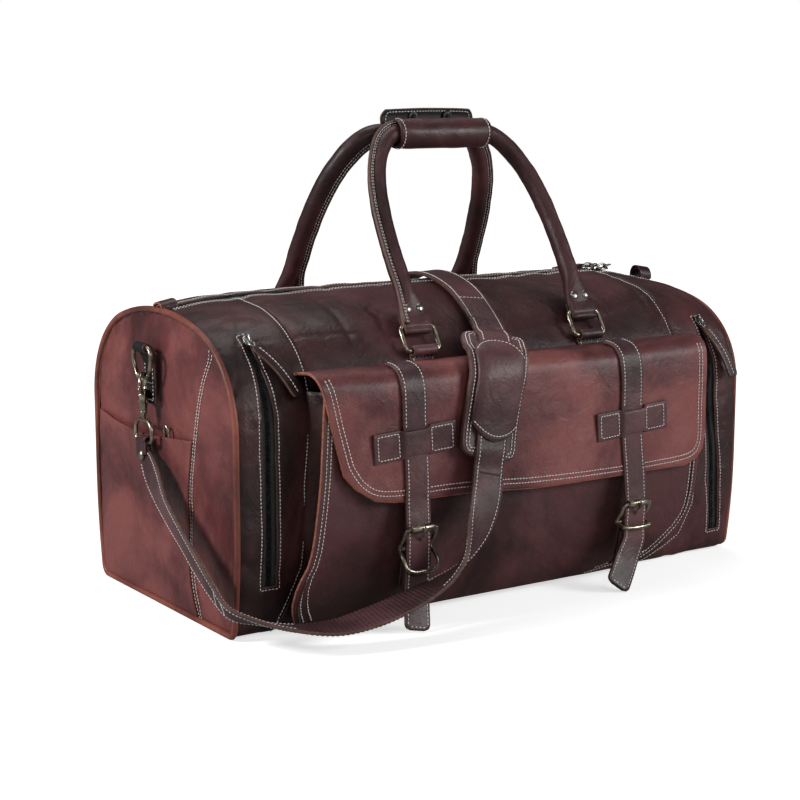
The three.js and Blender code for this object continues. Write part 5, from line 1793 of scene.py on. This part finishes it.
def pad():
    """A stitched backing with rounded corners, a stuffed sleeve over it, and the strap through it."""
    path, across, _ = route(PAD_ROUTE, 0.0015)
    run = lengths(path)
    left = np.minimum(run, run[-1] - run)
    width = cut_corners(0.064, left, corner=0.013)
    parts, rows = Parts(), Parts()
    sides, ups = ribbon(parts, path, -across, width, 0.0048, STRAP, DARK_EDGE, INSIDE, crown=0.0008, flat=13)
    n = len(path)
    for inset in (0.0036, 0.0072):
        half = np.clip(width / 2 - inset, 0, None)
        ok = (left > inset) & (half > 0.004)
        for sign in (-1, 1):
            stitch(rows, (path + sign * half[:, None] * sides + 0.0031 * ups)[ok], ups[ok])
        for i in (np.argmax(left > inset), n - 1 - np.argmax(left[::-1] > inset)):
            span = np.linspace(-1, 1, 12)[:, None] * half[i]
            stitch(rows, path[i] + span * sides[i] + 0.0028 * ups[i], ups[i])
    backing = parts.make("shoulder_pad_leather")
    rides(backing, "flap", "strap_leather", ["shoulder_pad"], FLAP_BEND)
    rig.padded(backing, fill=0.5)
    sleeve(path, sides, ups, rows)
    rows.ride("shoulder_pad_stitching", "flap", bend=FLAP_BEND)
    over, rows = Parts(), Parts()
    raised = (path + ups * 0.0046)[4:-4:4]
    line = evenly(smooth(np.vstack([front_path[-13::4], raised, back_path[2:9:3]]), 6), 0.002)
    sides, ups = ribbon(over, line, (-1, 0, 0.1), 0.0345, STRAP_THICK, STRAP, DARK_EDGE, STRAP,
                        crown=STRAP_CROWN)
    over.ride("pad_strap_leather", "flap", "strap_leather", bend=FLAP_BEND)
    side_rows(rows, line, sides, ups, [0.0137, -0.0137], STRAP_LIFT, 0.01, 0.99)
    rows.ride("pad_strap_stitching", "flap", bend=FLAP_BEND)


def sleeve(path, sides, ups, rows):
    """The sleeve over the strap: arched across, with curved ends."""
    n = len(path)
    u = np.linspace(-1, 1, 36)
    first, last = int(0.19 * n), int(0.77 * n)
    t = np.linspace(0, 1, 44)
    grid = np.zeros((len(u), len(t), 3))
    ups_at = np.zeros_like(grid)
    for i, a in enumerate(u):
        bow = 0.13 * n * (1 - a * a)
        spots = np.linspace(first + 0.05 * n - bow * 0.9, last - 0.05 * n + bow * 0.9, len(t))
        spots = np.clip(spots, 0, n - 1)
        arch = 0.0046 + 0.0044 * math.sqrt(max(0.0, 1 - abs(a) ** 4))
        base_points = np.stack([np.interp(spots, range(n), path[:, k]) for k in range(3)], 1)
        side_at = np.stack([np.interp(spots, range(n), sides[:, k]) for k in range(3)], 1)
        up_at = np.stack([np.interp(spots, range(n), ups[:, k]) for k in range(3)], 1)
        puff = 0.0012 * np.sin(t * math.pi)
        grid[i] = base_points + a * 0.0265 * side_at + (arch + puff)[:, None] * up_at
        ups_at[i] = up_at
    grid, normals = facing(grid, ups_at)
    parts = Parts()
    panel(parts, grid, normals, 0.0022, STRAP, DARK_EDGE, INSIDE)
    parts.ride("shoulder_pad_sleeve", "flap", "strap_leather", bend=FLAP_BEND)
    for k in (2, len(t) - 3):
        stitch(rows, grid[1:-1, k] + normals[1:-1, k] * 0.0002, normals[1:-1, k])


for side, sign in (("left", -1), ("right", 1)):
    end_panel(side, sign)
    end_seam_pieces(side, sign)
    end_tab(side, sign)
    end_ring(side, sign)
    hook(side, sign)
    strap_end(side, sign, front_path if sign < 0 else back_path[::-1])
slip_pocket()
handle("front", -1)
handle("back", 1)
grip_wrap()
pad()


# ---------- the stage ----------

def area_light(name, place, target, size, power):
    data = bpy.data.lights.new(name, "AREA")
    data.shape = "RECTANGLE"
    data.size, data.size_y = size
    data.energy = power
    light = bpy.data.objects.new(name, data)
    bpy.context.scene.collection.objects.link(light)
    light.location = place
    light.rotation_mode = "QUATERNION"
    light.rotation_quaternion = (Vector(target) - Vector(place)).to_track_quat("-Z", "Y")


def studio():
    scene = bpy.context.scene
    scene.view_settings.view_transform = "Standard"
    world = bpy.data.worlds.new("studio")
    scene.world = world
    world.use_nodes = True
    tree = world.node_tree
    background = tree.nodes["Background"]
    background.inputs["Color"].default_value = (1, 1, 1, 1)
    seen = tree.nodes.new("ShaderNodeBackground")
    seen.inputs["Color"].default_value = (1, 1, 1, 1)
    background.inputs["Strength"].default_value = 0.07
    seen.inputs["Strength"].default_value = 1.0
    mixed = tree.nodes.new("ShaderNodeMixShader")
    path = tree.nodes.new("ShaderNodeLightPath")
    tree.links.new(path.outputs["Is Camera Ray"], mixed.inputs[0])
    tree.links.new(background.outputs[0], mixed.inputs[1])
    tree.links.new(seen.outputs[0], mixed.inputs[2])
    tree.links.new(mixed.outputs[0], tree.nodes["World Output"].inputs["Surface"])
    bpy.ops.mesh.primitive_circle_add(vertices=64, radius=9, fill_type="NGON", location=(0, 0, -0.0004))
    floor = bpy.context.object
    floor.name = "floor"
    pale, tree, shader = material("pale_floor", Roughness=0.9)
    shader.inputs["Emission Color"].default_value = (1, 1, 1, 1)
    where = tree.nodes.new("ShaderNodeTexCoord")
    far = node(tree, "ShaderNodeVectorMath", operation="LENGTH")
    tree.links.new(where.outputs["Object"], far.inputs[0])
    glow = map_range(tree, far.outputs["Value"], 0.64, 1.0, from_min=0.7, from_max=2.6)
    paths = tree.nodes.new("ShaderNodeLightPath")
    pale_to_dim = ramp(tree, paths.outputs["Is Glossy Ray"], [(0, (0.8, 0.8, 0.8)), (1, (0.2, 0.2, 0.2))])
    tree.links.new(pale_to_dim, shader.inputs["Base Color"])
    shown = node(tree, "ShaderNodeMath", operation="MULTIPLY")
    tree.links.new(glow, shown.inputs[0])
    tree.links.new(map_range(tree, paths.outputs["Is Camera Ray"], 0.08, 1.0), shown.inputs[1])
    tree.links.new(shown.outputs["Value"], shader.inputs["Emission Strength"])
    floor.data.materials.append(pale)
    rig.stage(floor)
    area_light("key", (1.5, -1.9, 1.0), (0.05, 0, 0.15), (1.0, 0.9), 33)
    area_light("top", (0.1, 0.5, 2.1), (0, 0, 0.2), (1.6, 0.9), 15)
    area_light("left", (-2.1, 0.35, 1.3), (-0.3, 0, 0.15), (0.5, 0.5), 40)
    area_light("front", (-0.6, -2.3, 1.5), (0, 0, 0.15), (1.0, 0.7), 9)


studio()
for name, thing in frame["nodes"].items():
    if not thing.hide_render:
        thing.data.materials.clear()
        thing.data.materials.append({"base_board": BOARD, "lining": CLOTH}.get(name, BROWN))
with open("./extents.json", "w") as size_file:
    json.dump({name: [list(map(float, corner)) for corner in box]
               for name, box in (("cad", cad_box), ("visual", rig.bounds()))}, size_file)
